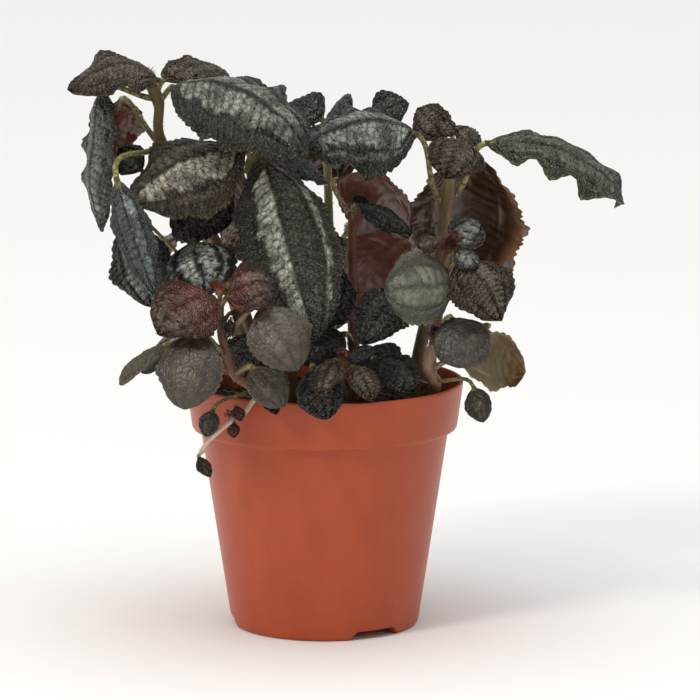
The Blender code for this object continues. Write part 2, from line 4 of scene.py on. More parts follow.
import bmesh
import bpy
import numpy as np
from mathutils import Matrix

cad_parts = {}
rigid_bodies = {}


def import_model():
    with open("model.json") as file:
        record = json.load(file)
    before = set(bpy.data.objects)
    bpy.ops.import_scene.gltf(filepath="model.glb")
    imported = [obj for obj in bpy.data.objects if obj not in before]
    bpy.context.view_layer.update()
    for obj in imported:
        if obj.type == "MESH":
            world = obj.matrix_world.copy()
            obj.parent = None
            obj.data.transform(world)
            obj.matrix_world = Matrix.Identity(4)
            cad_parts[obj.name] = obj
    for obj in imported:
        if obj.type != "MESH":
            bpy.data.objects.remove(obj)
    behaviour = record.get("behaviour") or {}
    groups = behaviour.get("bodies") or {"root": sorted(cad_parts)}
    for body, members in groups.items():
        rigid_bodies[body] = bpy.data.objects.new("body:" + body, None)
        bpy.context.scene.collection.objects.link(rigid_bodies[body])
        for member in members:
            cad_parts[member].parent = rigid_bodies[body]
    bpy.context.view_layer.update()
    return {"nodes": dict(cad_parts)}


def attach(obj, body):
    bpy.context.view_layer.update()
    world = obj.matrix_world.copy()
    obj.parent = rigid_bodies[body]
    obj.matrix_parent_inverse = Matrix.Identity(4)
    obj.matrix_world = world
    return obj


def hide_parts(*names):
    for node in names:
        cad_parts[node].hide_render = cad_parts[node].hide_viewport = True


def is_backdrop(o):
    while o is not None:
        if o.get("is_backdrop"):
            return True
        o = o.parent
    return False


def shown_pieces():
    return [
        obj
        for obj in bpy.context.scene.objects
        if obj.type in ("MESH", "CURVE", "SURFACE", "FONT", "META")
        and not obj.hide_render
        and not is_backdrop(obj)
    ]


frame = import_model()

mm = 0.001
print("frame loaded:", len(frame["nodes"]), "CAD nodes")


# helpers

def linearColour(hexText):
    # sRGB to linear: c / 12.92 below 0.04045, else ((c + 0.055) / 1.055) ^ 2.4
    parts = [int(hexText[k:k + 2], 16) / 255 for k in (1, 3, 5)]
    return np.array([c / 12.92 if c <= 0.04045 else ((c + 0.055) / 1.055) ** 2.4 for c in parts])


def unit(vectors):
    vectors = np.asarray(vectors, float)
    return vectors / np.maximum(np.linalg.norm(vectors, axis=-1, keepdims=True), 1e-12)


def smoothStep(x, low, high):
    # 3t^2 - 2t^3 with t running from 0 at low to 1 at high
    t = np.clip((x - low) / (high - low), 0, 1)
    return t * t * (3 - 2 * t)


def groove(distance, width):
    # a rounded line: exp(-(distance / width)^2)
    return np.exp(-(distance / width) ** 2)


def softNoise(points, wavelength, random, waves=7):
    # a sum of sines in random directions with wavelengths near the one given, about -1 to 1
    total = np.zeros(points.shape[:-1])
    for _ in range(waves):
        direction = unit(random.normal(size=points.shape[-1]))
        length = wavelength * random.uniform(0.7, 1.5)
        total += np.sin(points @ direction * 2 * math.pi / length + random.uniform(0, 6.28))
    return total / math.sqrt(waves)


def addNode(tree, kind, settings=None, inputs=None):
    node = tree.nodes.new(kind)
    for name, value in (settings or {}).items():
        setattr(node, name, value)
    for name, value in (inputs or {}).items():
        if isinstance(value, bpy.types.NodeSocket):
            tree.links.new(value, node.inputs[name])
        else:
            node.inputs[name].default_value = value
    return node


def newMaterial(name, settings):
    material = bpy.data.materials.new(name)
    material.use_nodes = True
    tree = material.node_tree
    shader = tree.nodes["Principled BSDF"]
    for socket, value in settings.items():
        shader.inputs[socket].default_value = value
    return material, tree, shader


def makePiece(name, points, faces, materials, tints=None, uvs=None, bullate=None):
    # points in millimetres, faces as rows of corner numbers; tints, uvs and bullate for each point
    mesh = bpy.data.meshes.new(name)
    faces = [np.asarray(group, int) for group in (faces if isinstance(faces, list) else [faces])]
    mesh.from_pydata((np.asarray(points, float) * mm).tolist(), [], sum((g.tolist() for g in faces), []))
    for material in materials:
        mesh.materials.append(material)
    if bullate is not None:
        layer = mesh.attributes.new("bullate", "FLOAT", "POINT")
        layer.data.foreach_set("value", np.asarray(bullate, np.float32))
    if tints is not None:
        layer = mesh.color_attributes.new("tint", "FLOAT_COLOR", "POINT")
        layer.data.foreach_set("color", np.c_[tints, np.ones(len(tints))].ravel())
    if uvs is not None:
        corners = np.empty(len(mesh.loops), np.int32)
        mesh.loops.foreach_get("vertex_index", corners)
        layer = mesh.uv_layers.new(name="surfaceMap")
        layer.data.foreach_set("uv", np.asarray(uvs)[corners].ravel())
    mesh.polygons.foreach_set("use_smooth", np.ones(len(mesh.polygons), bool))
    mesh.update()
    piece = bpy.data.objects.new(name, mesh)
    bpy.context.scene.collection.objects.link(piece)
    return piece


def settle(piece, slot, *nodes):
    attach(piece, "root")
    if nodes:
        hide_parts(*nodes)
    return piece


def ringFaces(ringCount, size):
    # quads between neighbouring closed rings, and a zip of quads across each end
    k, j = np.meshgrid(np.arange(ringCount - 1), np.arange(size), indexing="ij")
    a, b = k * size + j, k * size + (j + 1) % size
    sides = np.stack([a, b, b + size, a + size], -1).reshape(-1, 4)
    j = np.arange(size // 2 - 1)
    cap = np.stack([j + 1, j, size - 1 - j, size - 2 - j], -1)
    return np.vstack([sides, cap, cap[:, ::-1] + (ringCount - 1) * size])


def smoothCurve(points, perSpan):
    # Catmull-Rom: 0.5 (2b + (c - a) t + (2a - 5b + 4c - d) t^2 + (3b - a - 3c + d) t^3)
    p = np.array(points, float)
    p = np.vstack([2 * p[0] - p[1], p, 2 * p[-1] - p[-2]])
    t = np.linspace(0, 1, perSpan, endpoint=False)[None, :, None]
    a, b, c, d = p[:-3, None], p[1:-2, None], p[2:-1, None], p[3:, None]
    bend = (2 * a - 5 * b + 4 * c - d) * t ** 2 + (3 * b - a - 3 * c + d) * t ** 3
    spans = 0.5 * (2 * b + (c - a) * t + bend)
    return np.vstack([spans.reshape(-1, 3), p[-2]])


def tubeRings(path, radii, sides):
    # circles square to the path, each turned as little as possible from a fixed side direction
    along = unit(np.gradient(path, axis=0))
    side = unit(np.cross(along, np.cross((1.0, 0.02, 0.1), along)))
    over = np.cross(along, side)
    angles = np.arange(sides) * 2 * math.pi / sides
    ring = np.cos(angles)[None, :, None] * side[:, None] + np.sin(angles)[None, :, None] * over[:, None]
    return path[:, None] + ring * np.broadcast_to(radii, len(path))[:, None, None], ring


def hairPoints(roots, directions, lengths, thickness):
    # each hair is a three-sided spike: three points round its root and one at its tip
    directions = unit(directions)
    side = unit(np.cross(directions, (0.31, 0.55, 0.77)))
    over = np.cross(directions, side)
    turns = np.arange(3) * 2 * math.pi / 3
    ring = np.cos(turns)[None, :, None] * side[:, None] + np.sin(turns)[None, :, None] * over[:, None]
    feet = roots[:, None] + ring * thickness
    tips = (roots + directions * lengths[:, None])[:, None]
    points = np.concatenate([feet, tips], axis=1).reshape(-1, 3)
    start = np.arange(len(roots))[:, None] * 4
    faces = (start[:, None] + np.array([[0, 1, 3], [1, 2, 3], [2, 0, 3], [2, 1, 0]])[None]).reshape(-1, 3)
    return points, faces


# camera, floor and light

cameraView = {
    "place": (0.0, -1.8, 0.429),  # metres
    "pitch": 9.75,  # degrees down
    "turn": 0.349,  # degrees towards +X
    "focalPixels": 4225.0,
    "framePixels": 700.0,
    "sensor": 36.0,
}


def makeCamera(view):
    data = bpy.data.cameras.new("camera")
    data.sensor_width = view["sensor"]
    data.lens = view["focalPixels"] / view["framePixels"] * view["sensor"]
    data.clip_start, data.clip_end = 0.05, 40
    camera = bpy.data.objects.new("camera", data)
    camera.location = view["place"]
    camera.rotation_euler = (math.radians(90 - view["pitch"]), 0, -math.radians(view["turn"]))
    bpy.context.scene.collection.objects.link(camera)
    bpy.context.scene.camera = camera


studio = {
    "floorColour": "#f8f7f5",
    "floorReach": 12.0,
    "worldColour": "#ffffff",
    "worldStrength": 0.38,
    "overhead": (1.75, 1.3),  # watts a square metre, and how wide the soft light is in radians
    # name: place, power, size, colour
    "lights": {
        "keyLight": ((-1.6, -1.6, 1.9), 27.0, 0.6, "#fff6ec"),
        "fillLight": ((1.9, -1.5, 1.4), 3.0, 1.2, "#ffffff"),
    },
}


def makeStudio(setup):
    reach = setup["floorReach"]
    mesh = bpy.data.meshes.new("floor")
    mesh.from_pydata([(-reach, -reach, 0), (reach, -reach, 0), (reach, reach, 0), (-reach, reach, 0)],
                     [], [(0, 1, 2, 3)])
    floor = bpy.data.objects.new("floor", mesh)
    bpy.context.scene.collection.objects.link(floor)
    colour = (*linearColour(setup["floorColour"]), 1)
    material, _, _ = newMaterial("paleStudioFloor", {"Base Color": colour, "Roughness": 0.8})
    mesh.materials.append(material)
    floor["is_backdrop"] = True
    world = bpy.data.worlds.new("softWorld")
    bpy.context.scene.world = world
    world.use_nodes = True
    background = world.node_tree.nodes["Background"]
    background.inputs["Color"].default_value = (*linearColour(setup["worldColour"]), 1)
    background.inputs["Strength"].default_value = setup["worldStrength"]
    data = bpy.data.lights.new("overheadLight", "SUN")
    data.energy, data.angle = setup["overhead"]
    bpy.context.scene.collection.objects.link(bpy.data.objects.new("overheadLight", data))
    aimPoint = np.array([0, 0, 0.12])
    for name, (place, power, size, colour) in setup["lights"].items():
        data = bpy.data.lights.new(name, "AREA")
        data.energy, data.size = power, size
        data.color = tuple(linearColour(colour))
        lamp = bpy.data.objects.new(name, data)
        lamp.location = place
        away = np.array(place) - aimPoint
        lamp.rotation_euler = (math.atan2(math.hypot(away[0], away[1]), away[2]), 0,
                               math.atan2(away[1], away[0]) + math.pi / 2)
        bpy.context.scene.collection.objects.link(lamp)


makeCamera(cameraView)
makeStudio(studio)
bpy.context.scene.view_settings.view_transform = "Standard"
print("camera and studio made")


# pot

pot = {
    "steps": 180,
    "notchAngles": (-57.0, 63.0, 183.0),  # degrees
    "notchHalfWidth": 17.5,
    "notchSlant": 3.9,
    "notchHeight": 3.8,  # millimetres
    "footInner": 34.0,
    "holeCircle": 28.0,
    "holeRadius": 3.0,
    "holeCount": 6,
    # (radius, height) in millimetres: down the outer side, under the floor and up the inner side
    "profile": [
        (58.75, 106.75), (58.95, 106.95), (59.25, 107.0), (59.6, 106.97), (59.86, 106.8), (59.97, 106.45),
        (59.98, 106.0), (59.75, 104.2), (59.2, 100.0), (58.5, 95.0), (57.75, 89.6), (57.55, 88.1),
        (57.35, 87.2), (56.95, 86.55), (56.3, 86.2), (55.3, 86.02), (54.4, 85.85), (53.85, 85.5),
        (53.55, 84.9), (53.4, 84.0), (52.0, 75.0), (49.9, 61.0), (47.4, 44.5), (44.6, 26.0), (42.6, 13.0),
        (41.4, 5.2), (41.0, 2.6), (40.85, 1.6), (40.45, 0.75), (39.9, 0.2), (39.2, 0.0), (37.4, 0.0),
        (36.7, 0.1), (36.35, 0.5), (35.3, 4.0), (21.2, 4.0), (20.6, 3.8), (18.3, 0.3), (17.6, 0.0),
        (0.0, 0.0), (0.0, 1.4), (17.0, 1.4), (20.0, 5.2), (20.8, 5.4), (37.3, 5.4), (38.6, 6.0),
        (39.4, 7.4), (40.1, 11.6), (43.3, 32.0), (46.6, 53.0), (50.0, 74.0), (51.9, 84.0), (54.8, 86.6),
        (56.1, 87.6), (56.7, 91.0), (57.8, 99.5), (58.6, 106.2),
    ],
}


def plasticMaterial():
    # injection-moulded polypropylene in terracotta colour: satin, a little uneven in tone,
    # with faint flow mottling and a few pale scuffs
    material, tree, shader = newMaterial("mouldedTerracottaPlastic", {
        "Roughness": 0.38, "IOR": 1.49, "Specular IOR Level": 0.35})
    place = addNode(tree, "ShaderNodeTexCoord").outputs["Object"]
    stretched = addNode(tree, "ShaderNodeMapping", None, {"Vector": place, "Scale": (1, 1, 0.45)})
    cloud = addNode(tree, "ShaderNodeTexNoise", None, {
        "Vector": stretched.outputs["Vector"], "Scale": 55.0, "Detail": 4.0, "Roughness": 0.55})  # 18 mm
    tone = addNode(tree, "ShaderNodeValToRGB", None, {"Fac": cloud.outputs["Fac"]})
    tone.color_ramp.elements[0].position, tone.color_ramp.elements[1].position = 0.3, 0.72
    tone.color_ramp.elements[0].color = (*linearColour("#a44526"), 1)
    tone.color_ramp.elements[1].color = (*linearColour("#b34e2a"), 1)
    grain = addNode(tree, "ShaderNodeTexNoise", None, {
        "Vector": place, "Scale": 900.0, "Detail": 2.0, "Roughness": 0.6})  # 1.1 mm
    scuff = addNode(tree, "ShaderNodeTexNoise", None, {
        "Vector": addNode(tree, "ShaderNodeMapping", None, {
            "Vector": place, "Scale": (1.0, 1.0, 2.6), "Rotation": (0.0, 0.35, 0.0)}).outputs["Vector"],
        "Scale": 190.0, "Detail": 3.0, "Roughness": 0.7})
    marks = addNode(tree, "ShaderNodeMapRange", None, {
        "Value": scuff.outputs["Fac"], "From Min": 0.7, "From Max": 0.78, "To Min": 0.0, "To Max": 0.5})
    worn = addNode(tree, "ShaderNodeMix", {"data_type": "RGBA"}, {
        "Factor": marks.outputs["Result"]})
    tree.links.new(tone.outputs["Color"], worn.inputs[6])
    worn.inputs[7].default_value = (*linearColour("#bd6a4a"), 1)
    tree.links.new(worn.outputs[2], shader.inputs["Base Color"])
    bump = addNode(tree, "ShaderNodeBump", None, {
        "Height": grain.outputs["Fac"], "Strength": 0.12, "Distance": 0.0003})
    tree.links.new(bump.outputs["Normal"], shader.inputs["Normal"])
    return material


def makePot(setup):
    # each profile point is carried round the Z axis; in a notch no point of the foot is lower
    # than the notch's top
    profile = np.array(setup["profile"], float)
    turns = np.arange(setup["steps"]) * 2 * math.pi / setup["steps"]
    away = np.degrees(turns)[:, None] - np.array(setup["notchAngles"])[None]
    away = np.abs((away + 180) % 360 - 180).min(axis=1)
    lift = setup["notchHeight"] * np.clip((setup["notchHalfWidth"] - away) / setup["notchSlant"], 0, 1)
    radius = np.broadcast_to(profile[:, :1], (len(profile), len(turns)))
    height = np.broadcast_to(profile[:, 1:], radius.shape)
    height = np.where(radius > setup["footInner"], np.maximum(height, lift[None]), height)
    points = np.stack([radius * np.cos(turns), radius * np.sin(turns), height], -1)
    rows, columns = points.shape[:2]
    k, j = np.meshgrid(np.arange(rows), np.arange(columns), indexing="ij")
    after, beside = (k + 1) % rows, (j + 1) % columns
    faces = np.stack([k * columns + j, after * columns + j, after * columns + beside, k * columns + beside],
                     -1).reshape(-1, 4)
    piece = makePiece("pot_shell", points.reshape(-1, 3), faces, [plasticMaterial()])
    body = bmesh.new()
    body.from_mesh(piece.data)
    bmesh.ops.remove_doubles(body, verts=body.verts, dist=1e-6)
    bmesh.ops.recalc_face_normals(body, faces=body.faces)
    body.to_mesh(piece.data)
    body.free()
    cutters = bpy.data.collections.new("drainCutters")
    bpy.context.scene.collection.children.link(cutters)
    for k in range(setup["holeCount"]):
        turn = 2 * math.pi * (k + 0.5) / setup["holeCount"]
        bpy.ops.mesh.primitive_cylinder_add(vertices=24, radius=setup["holeRadius"] * mm, depth=12 * mm, location=(
            setup["holeCircle"] * math.cos(turn) * mm, setup["holeCircle"] * math.sin(turn) * mm, 4 * mm))
        rod = bpy.context.object
        for group in list(rod.users_collection):
            group.objects.unlink(rod)
        cutters.objects.link(rod)
    drill = piece.modifiers.new("drainHoles", "BOOLEAN")
    drill.operation, drill.solver, drill.operand_type = "DIFFERENCE", "EXACT", "COLLECTION"
    drill.collection = cutters
    graph = bpy.context.evaluated_depsgraph_get()
    mesh = bpy.data.meshes.new_from_object(piece.evaluated_get(graph))
    piece.modifiers.clear()
    piece.data = mesh
    for rod in list(cutters.objects):
        bpy.data.objects.remove(rod, do_unlink=True)
    bpy.data.collections.remove(cutters)
    mesh.polygons.foreach_set("use_smooth", np.ones(len(mesh.polygons), bool))
    mesh.set_sharp_from_angle(angle=math.radians(50))
    settle(piece, "terracotta_plastic", "pot")


makePot(pot)
print("pot made")


# soil

soil = {
    "top": 97.0,  # millimetres, as in the CAD
    "edge": 57.1,
    "rings": 58,
    "steps": 150,
    "lump": 1.0,
    "crumbs": 620,
    "fibres": 70,
    "seed": 11,
}


def soilMaterial():
    # damp peat mix: near black, matt, with brown crumbs
    material, tree, shader = newMaterial("dampPeatSoil", {"Roughness": 0.92, "Specular IOR Level": 0.3})
    place = addNode(tree, "ShaderNodeTexCoord").outputs["Object"]
    clumps = addNode(tree, "ShaderNodeTexNoise", None, {
        "Vector": place, "Scale": 420.0, "Detail": 6.0, "Roughness": 0.7})  # 2.4 mm crumbs
    tone = addNode(tree, "ShaderNodeValToRGB", None, {"Fac": clumps.outputs["Fac"]})
    tone.color_ramp.elements[0].position, tone.color_ramp.elements[1].position = 0.38, 0.75
    tone.color_ramp.elements[0].color = (*linearColour("#15110e"), 1)
    tone.color_ramp.elements[1].color = (*linearColour("#4a3a2c"), 1)
    tree.links.new(tone.outputs["Color"], shader.inputs["Base Color"])
    bump = addNode(tree, "ShaderNodeBump", None, {
        "Height": clumps.outputs["Fac"], "Strength": 0.9, "Distance": 0.001})
    tree.links.new(bump.outputs["Normal"], shader.inputs["Normal"])
    return material


def fibreMaterial():
    # coconut and peat fibre: dry, tan to brown, matt
    material, tree, shader = newMaterial("dryPeatFibre", {"Roughness": 0.85})
    tint = addNode(tree, "ShaderNodeAttribute", {"attribute_name": "tint"})
    tree.links.new(tint.outputs["Color"], shader.inputs["Base Color"])
    return material


def soilHeight(x, y, random):
    # the CAD's lumps, lump (sin 0.21x cos 0.17y + 0.6 sin(0.33x + 0.29y)), and crumbs 7 and 3 mm across
    place = np.stack([x, y], -1)
    lumps = soil["lump"] * (np.sin(0.21 * x) * np.cos(0.17 * y) + 0.6 * np.sin(0.33 * x + 0.29 * y))
    return soil["top"] + lumps * 0.8 + 0.45 * softNoise(place, 7, random) + 0.3 * softNoise(place, 3.2, random)


def makeSoil(setup):
    # rings from the centre out to the wall, then down the wall and in again under the block
    random = np.random.default_rng(setup["seed"])
    turns = np.arange(setup["steps"]) * 2 * math.pi / setup["steps"]
    reach = setup["edge"] * np.linspace(0.004, 1, setup["rings"]) ** 0.8
    x, y = reach[:, None] * np.cos(turns), reach[:, None] * np.sin(turns)
    z = soilHeight(x, y, np.random.default_rng(setup["seed"]))
    low = [(55.4, 88.6), (51.6, 84.4), (38.9, 9.8), (36.6, 6.0), (0.4, 6.0)]
    radius = np.vstack([reach[:, None], np.array([r for r, _ in low])[:, None]])
    x, y = radius * np.cos(turns), radius * np.sin(turns)
    z = np.vstack([z, np.array([h for _, h in low])[:, None] * np.ones(len(turns))])
    points = np.stack([x, y, z], -1)
    faces = ringFaces(len(radius), len(turns))[:, ::-1]
    top = makePiece("soil_bed", points.reshape(-1, 3), faces, [soilMaterial()])
    settle(top, "potting_soil", "soil")
    # crumbs: octahedra with each corner moved in or out
    count = setup["crumbs"]
    corners = np.array([(1, 0, 0), (-1, 0, 0), (0, 1, 0), (0, -1, 0), (0, 0, 1), (0, 0, -1)], float)
    sides = np.array([(0, 2, 4), (2, 1, 4), (1, 3, 4), (3, 0, 4), (2, 0, 5), (1, 2, 5), (3, 1, 5), (0, 3, 5)])
    spread, turn = setup["edge"] * 0.985 * np.sqrt(random.uniform(0.01, 1, count)), random.uniform(0, 6.28, count)
    cx, cy = spread * np.cos(turn), spread * np.sin(turn)
    centre = np.stack([cx, cy, np.zeros(count)], -1)
    centre[:, 2] = soilHeight(cx, cy, np.random.default_rng(setup["seed"])) + 0.2
    size = random.uniform(0.4, 1.35, count)[:, None, None] * random.uniform(0.6, 1.3, (count, 6, 1))
    points = centre[:, None] + corners[None] * size + random.normal(0, 0.16, (count, 6, 3))
    faces = (np.arange(count)[:, None, None] * 6 + sides[None]).reshape(-1, 3)
    crumbs = makePiece("soil_crumbs", points.reshape(-1, 3), faces, [bpy.data.materials["dampPeatSoil"]])
    crumbs.data.polygons.foreach_set("use_smooth", np.zeros(len(crumbs.data.polygons), bool))
    settle(crumbs, "potting_soil")
    # fibres: thin bent tubes that lie on the soil
    parts, tints = [], []
    for _ in range(setup["fibres"]):
        r, a = setup["edge"] * 0.9 * math.sqrt(random.uniform(0.02, 1)), random.uniform(0, 6.28)
        lie, length = random.uniform(0, 6.28), random.uniform(4, 13)
        t = np.linspace(-0.5, 0.5, 7)
        fx = r * math.cos(a) + length * t * math.cos(lie) + random.uniform(-2, 2) * t ** 2 * 4
        fy = r * math.sin(a) + length * t * math.sin(lie)
        inside = np.minimum(1, setup["edge"] * 0.97 / np.maximum(np.hypot(fx, fy), 1))
        fx, fy = fx * inside, fy * inside
        fz = soilHeight(fx, fy, np.random.default_rng(setup["seed"])) + 0.45 + random.uniform(0, 1.2) * (1 - 4 * t ** 2)
        rings, _ = tubeRings(np.stack([fx, fy, fz], -1), random.uniform(0.12, 0.26), 4)
        parts.append(rings)
        shade = linearColour("#8a6a48") * random.uniform(0.35, 1.1)
        tints.append(np.broadcast_to(shade, (28, 3)))
    rings = np.array(parts)
    one = ringFaces(7, 4)
    faces = (np.arange(len(parts))[:, None, None] * 28 + one[None]).reshape(-1, 4)
    fibres = makePiece("soil_fibres", rings.reshape(-1, 3), faces, [fibreMaterial()], np.vstack(tints))
    settle(fibres, "potting_soil")


makeSoil(soil)
print("soil made")


# stems: name, radii of foot and top, path from inside the soil, colours of foot and top

stems = [
    ("left_tall", (2.6, 2.0), "#5a4526", "#7d7144",
     [(-24, 6, 82), (-27, 6, 110), (-44, 6, 160), (-69, 5, 206), (-71, 4, 226), (-74, 3, 234)]),
    ("centre_left", (2.4, 1.8), "#6b4a36", "#83784a",
     [(-12, -8, 82), (-14, -9, 110), (-21, -12, 150), (-31, -14, 196), (-30, -14, 207)]),
    ("front_left", (1.9, 1.5), "#a3705a", "#74503c",
     [(-21, -32, 82), (-23, -38, 101), (-27, -45, 110), (-33, -51, 114), (-38, -54, 119),
      (-41, -55, 127), (-43, -56, 136), (-44, -56, 151)]),
    ("centre", (2.4, 1.7), "#6a4030", "#7a5240",
     [(13, 6, 82), (13, 6, 110), (12, 6, 133), (12, 8, 158), (12, 8, 170), (14, 10, 178)]),
    ("right_tall", (3.0, 2.6), "#5c4630", "#77693f",
     [(38, 14, 82), (40, 13, 110), (50, 8, 157), (52, 5, 179), (54, 3, 193), (56, 1, 208)]),
    ("right_front", (2.5, 1.8), "#a3826e", "#84674e",
     [(44, -18, 82), (46, -20, 102), (47, -26, 110), (44, -30, 118), (46, -31, 126),
      (49, -32, 147), (53, -32, 168)]),
    ("front_small", (1.8, 1.4), "#7a5a48", "#8a6a50", [(6, -32, 82), (6, -34, 100), (7, -42, 119), (7, -44, 123)]),
    ("back_tall", (2.4, 1.7), "#5a4526", "#857c46", [(4, 34, 82), (3, 36, 120), (2, 40, 170), (1, 42, 206)]),
    ("back_left", (2.3, 1.7), "#5a4526", "#857c46", [(-28, 28, 82), (-36, 32, 120), (-50, 38, 165)]),
    ("back_right", (2.3, 1.7), "#5a4526", "#857c46", [(43, 20, 82), (47, 25, 110), (54, 42, 164)]),
    ("runner", (1.1, 0.8), "#c9a494", "#dcc6b2",
     [(-13, -41, 82), (-17, -45, 101), (-23, -51, 111), (-28, -57, 110), (-34, -59, 103),
      (-41, -58, 98), (-49, -55, 90), (-52, -53, 85)]),
]

# leaves: name, stem, height of the joint, base, tip, facing (turn, lift), arch, width, fold,
# bluntness, look. Places are the CAD's, in millimetres.
leaves = [
    ("left_crown", "left_tall", 232, (-71, 0, 237), (-108, -12, 233), (-92, 70), 10, 38, 10, 0.8, "crown"),
    ("left_crown_back", "left_tall", 231, (-69, 8, 236), (-42, 32, 237), (-85, 66), 5, 26, 8, 0.8, "crown"),
    ("left_arching", "left_tall", 228, (-65, 0, 234), (-5, -36, 210), (-78, 54), 15, 54, 28, 0.6, "silver"),
    ("left_hanging", "left_tall", 229, (-95, -2, 232), (-97, -8, 172), (-150, 12), 4, 34, 18, 0, "greySilver"),
    ("left_back_shade", "left_tall", 209, (-88, 22, 226), (-93, 40, 192), (120, 30), 6, 30, 15, 0.4, "deep"),
    ("left_lower", "left_tall", 208, (-87, -42, 199), (-70, -48, 149), (-104, 14), 4, 18, 16, 0.3, "darkLine"),
    ("left_inner", "left_tall", 150, (-56, -22, 170), (-50, -40, 149), (-92, 34), 5, 36, 12, 0.5, "bright"),
    ("left_shade", "left_tall", 174, (-64, -7, 190), (-40, -12, 177), (-88, 14), 3, 40, 10, 0.5, "deep"),
    ("centre_great", "centre_left", 202, (-26, -17, 206), (-4, -54, 133), (-88, 18), 8, 47, 20, 0.9, "greatSilver"),
    ("centre_broad", "centre_left", 205, (-34, -18, 209), (-83, -30, 188), (-112, 52), 9, 58, 24, 0.5, "brownSilver"),
    ("centre_back", "centre_left", 202, (-27, -8, 207), (1, 10, 191), (-60, 70), 5, 32, 10, 0.4, "dark"),
    ("centre_behind", "centre_left", 185, (-36, 9, 196), (-61, 22, 171), (75, 40), 2, 36, 10, 0.5, "deep"),
    ("centre_inner", "centre_left", 158, (-12, 6, 175), (-5, 0, 142), (-92, 20), 5, 38, 10, 0.4, "dark"),
    ("front_broad", "front_left", 129, (-53, -66, 139), (-58, -79, 108), (-108, 28), 5, 32, 14, 1, "smoothBronze"),
    ("front_right", "front_left", 135, (-26, -64, 149), (-11, -76, 124), (-82, 24), 4, 28, 14, 0.8, "mauveBronze"),
    ("front_round", "front_left", 119, (-30, -62, 123), (-17, -72, 108), (-68, 40), 3, 21, 12, 1, "smoothBronze"),
    ("front_edge", "front_left", 121, (-66, -59, 132), (-86, -63, 116), (-160, 30), 3, 18, 12, 0.6, "olive"),
    ("front_red", "front_left", 149, (-47, -58, 152), (-70, -70, 139), (-108, 40), 7, 38, 10, 0.9, "red"),
    ("front_red_right", "front_left", 149, (-41, -60, 152), (-20, -62, 157), (-84, 48), 6, 29, 12, 0.9, "red"),
    ("right_long", "right_tall", 186, (70, -2, 210), (130, -6, 185), (-98, 66), 11, 35, 12, 1, "green"),
    ("right_cupped", "right_tall", 183, (39, -8, 215), (-8, -22, 211), (-90, 56), 10, 54, 28, 0.8, "darkSilver"),
    ("right_crown", "right_tall", 205, (60, -8, 212), (51, -22, 197), (-95, 28), 5, 28, 14, 0.7, "crown"),
    ("right_hanging", "right_tall", 189, (63, 20, 203), (60, 30, 137), (84, 14), 9, 56, 22, 0.5, "brownUnder"),
    ("centre_red", "centre", 176, (6, 22, 191), (38, 16, 166), (76, 42), 7, 48, 15, 0.5, "redUnder"),
    ("centre_red_low", "centre", 159, (9, 16, 165), (36, 20, 136), (84, 10), 5, 42, 12, 0.5, "redUnder"),
    ("centre_shade", "centre", 147, (5, -5, 158), (-9, -14, 130), (-94, 20), 4, 34, 10, 0.5, "dark"),
    ("right_round", "right_front", 149, (54, -38, 154), (25, -44, 152), (-94, 18), 3, 34, 8, 1, "twoBands"),
    ("right_quilted", "right_front", 160, (57, -36, 164), (75, -48, 140), (-72, 30), 6, 32, 14, 0.6, "crown"),
    ("right_low", "right_front", 124, (68, -41, 137), (48, -51, 124), (-92, 38), 4, 28, 14, 1, "greyBronze"),
    ("right_olive", "right_front", 116, (58, -27, 122), (86, -33, 116), (70, 34), 4, 36, 8, 1, "olive"),
    ("right_dark", "right_front", 138, (34, -24, 150), (15, -40, 129), (-104, 24), 5, 26, 12, 0.3, "dark"),
    ("soil_dark", "right_front", 107, (22, -30, 121), (38, -42, 109), (-82, 50), 3, 24, 12, 0.6, "dark"),
    ("rim_dark", "front_small", 110, (-5, -54, 121), (1, -68, 102), (-86, 30), 3, 21, 12, 1, "dark"),
    ("shade_left", "centre_left", 118, (-28, -20, 130), (-38, -32, 111), (-110, 34), 4, 30, 10, 0.6, "dark"),
    ("shade_centre", "centre", 122, (8, -8, 128), (-11, -16, 117), (-95, 40), 4, 26, 10, 0.6, "dark"),
    ("shade_right", "centre", 110, (16, -6, 120), (31, -18, 111), (-80, 50), 4, 26, 10, 0.6, "dark"),
    ("back_crown_left", "back_tall", 204, (-1, 41, 215), (-17, 49, 221), (-100, 55), 4, 24, 8, 0.4, "dark"),
    ("back_crown_front", "back_tall", 204, (3, 31, 215), (12, 21, 224), (-100, 60), 4, 26, 8, 0.4, "dark"),
    ("back_crown_right", "back_tall", 199, (21, 40, 213), (37, 38, 223), (-80, 55), 4, 26, 8, 0.4, "dark"),
    ("back_crown_rear", "back_tall", 204, (2, 49, 212), (6, 94, 182), (90, 50), 9, 44, 14, 0.4, "silver"),
    ("back_mid_left", "back_tall", 163, (-14, 54, 178), (-44, 88, 148), (120, 40), 8, 40, 14, 0.4, "silver"),
    ("back_mid_right", "back_tall", 157, (16, 52, 170), (40, 88, 140), (60, 40), 8, 42, 14, 0.4, "brownSilver"),
    ("back_low", "back_tall", 129, (2, 54, 140), (0, 90, 112), (90, 45), 6, 38, 12, 0.4, "darkSilver"),
    ("back_left_outer", "back_left", 159, (-58, 44, 166), (-84, 70, 138), (150, 45), 7, 38, 14, 0.4, "brownSilver"),
    ("back_left_low", "back_left", 121, (-50, 32, 128), (-80, 46, 104), (160, 45), 5, 34, 12, 0.4, "darkLine"),
    ("back_right_outer", "back_right", 159, (60, 50, 166), (74, 88, 134), (60, 45), 7, 38, 14, 0.4, "silver"),
    ("back_right_low", "back_right", 122, (56, 38, 128), (80, 52, 104), (25, 45), 5, 34, 12, 0.4, "greyBronze"),
]

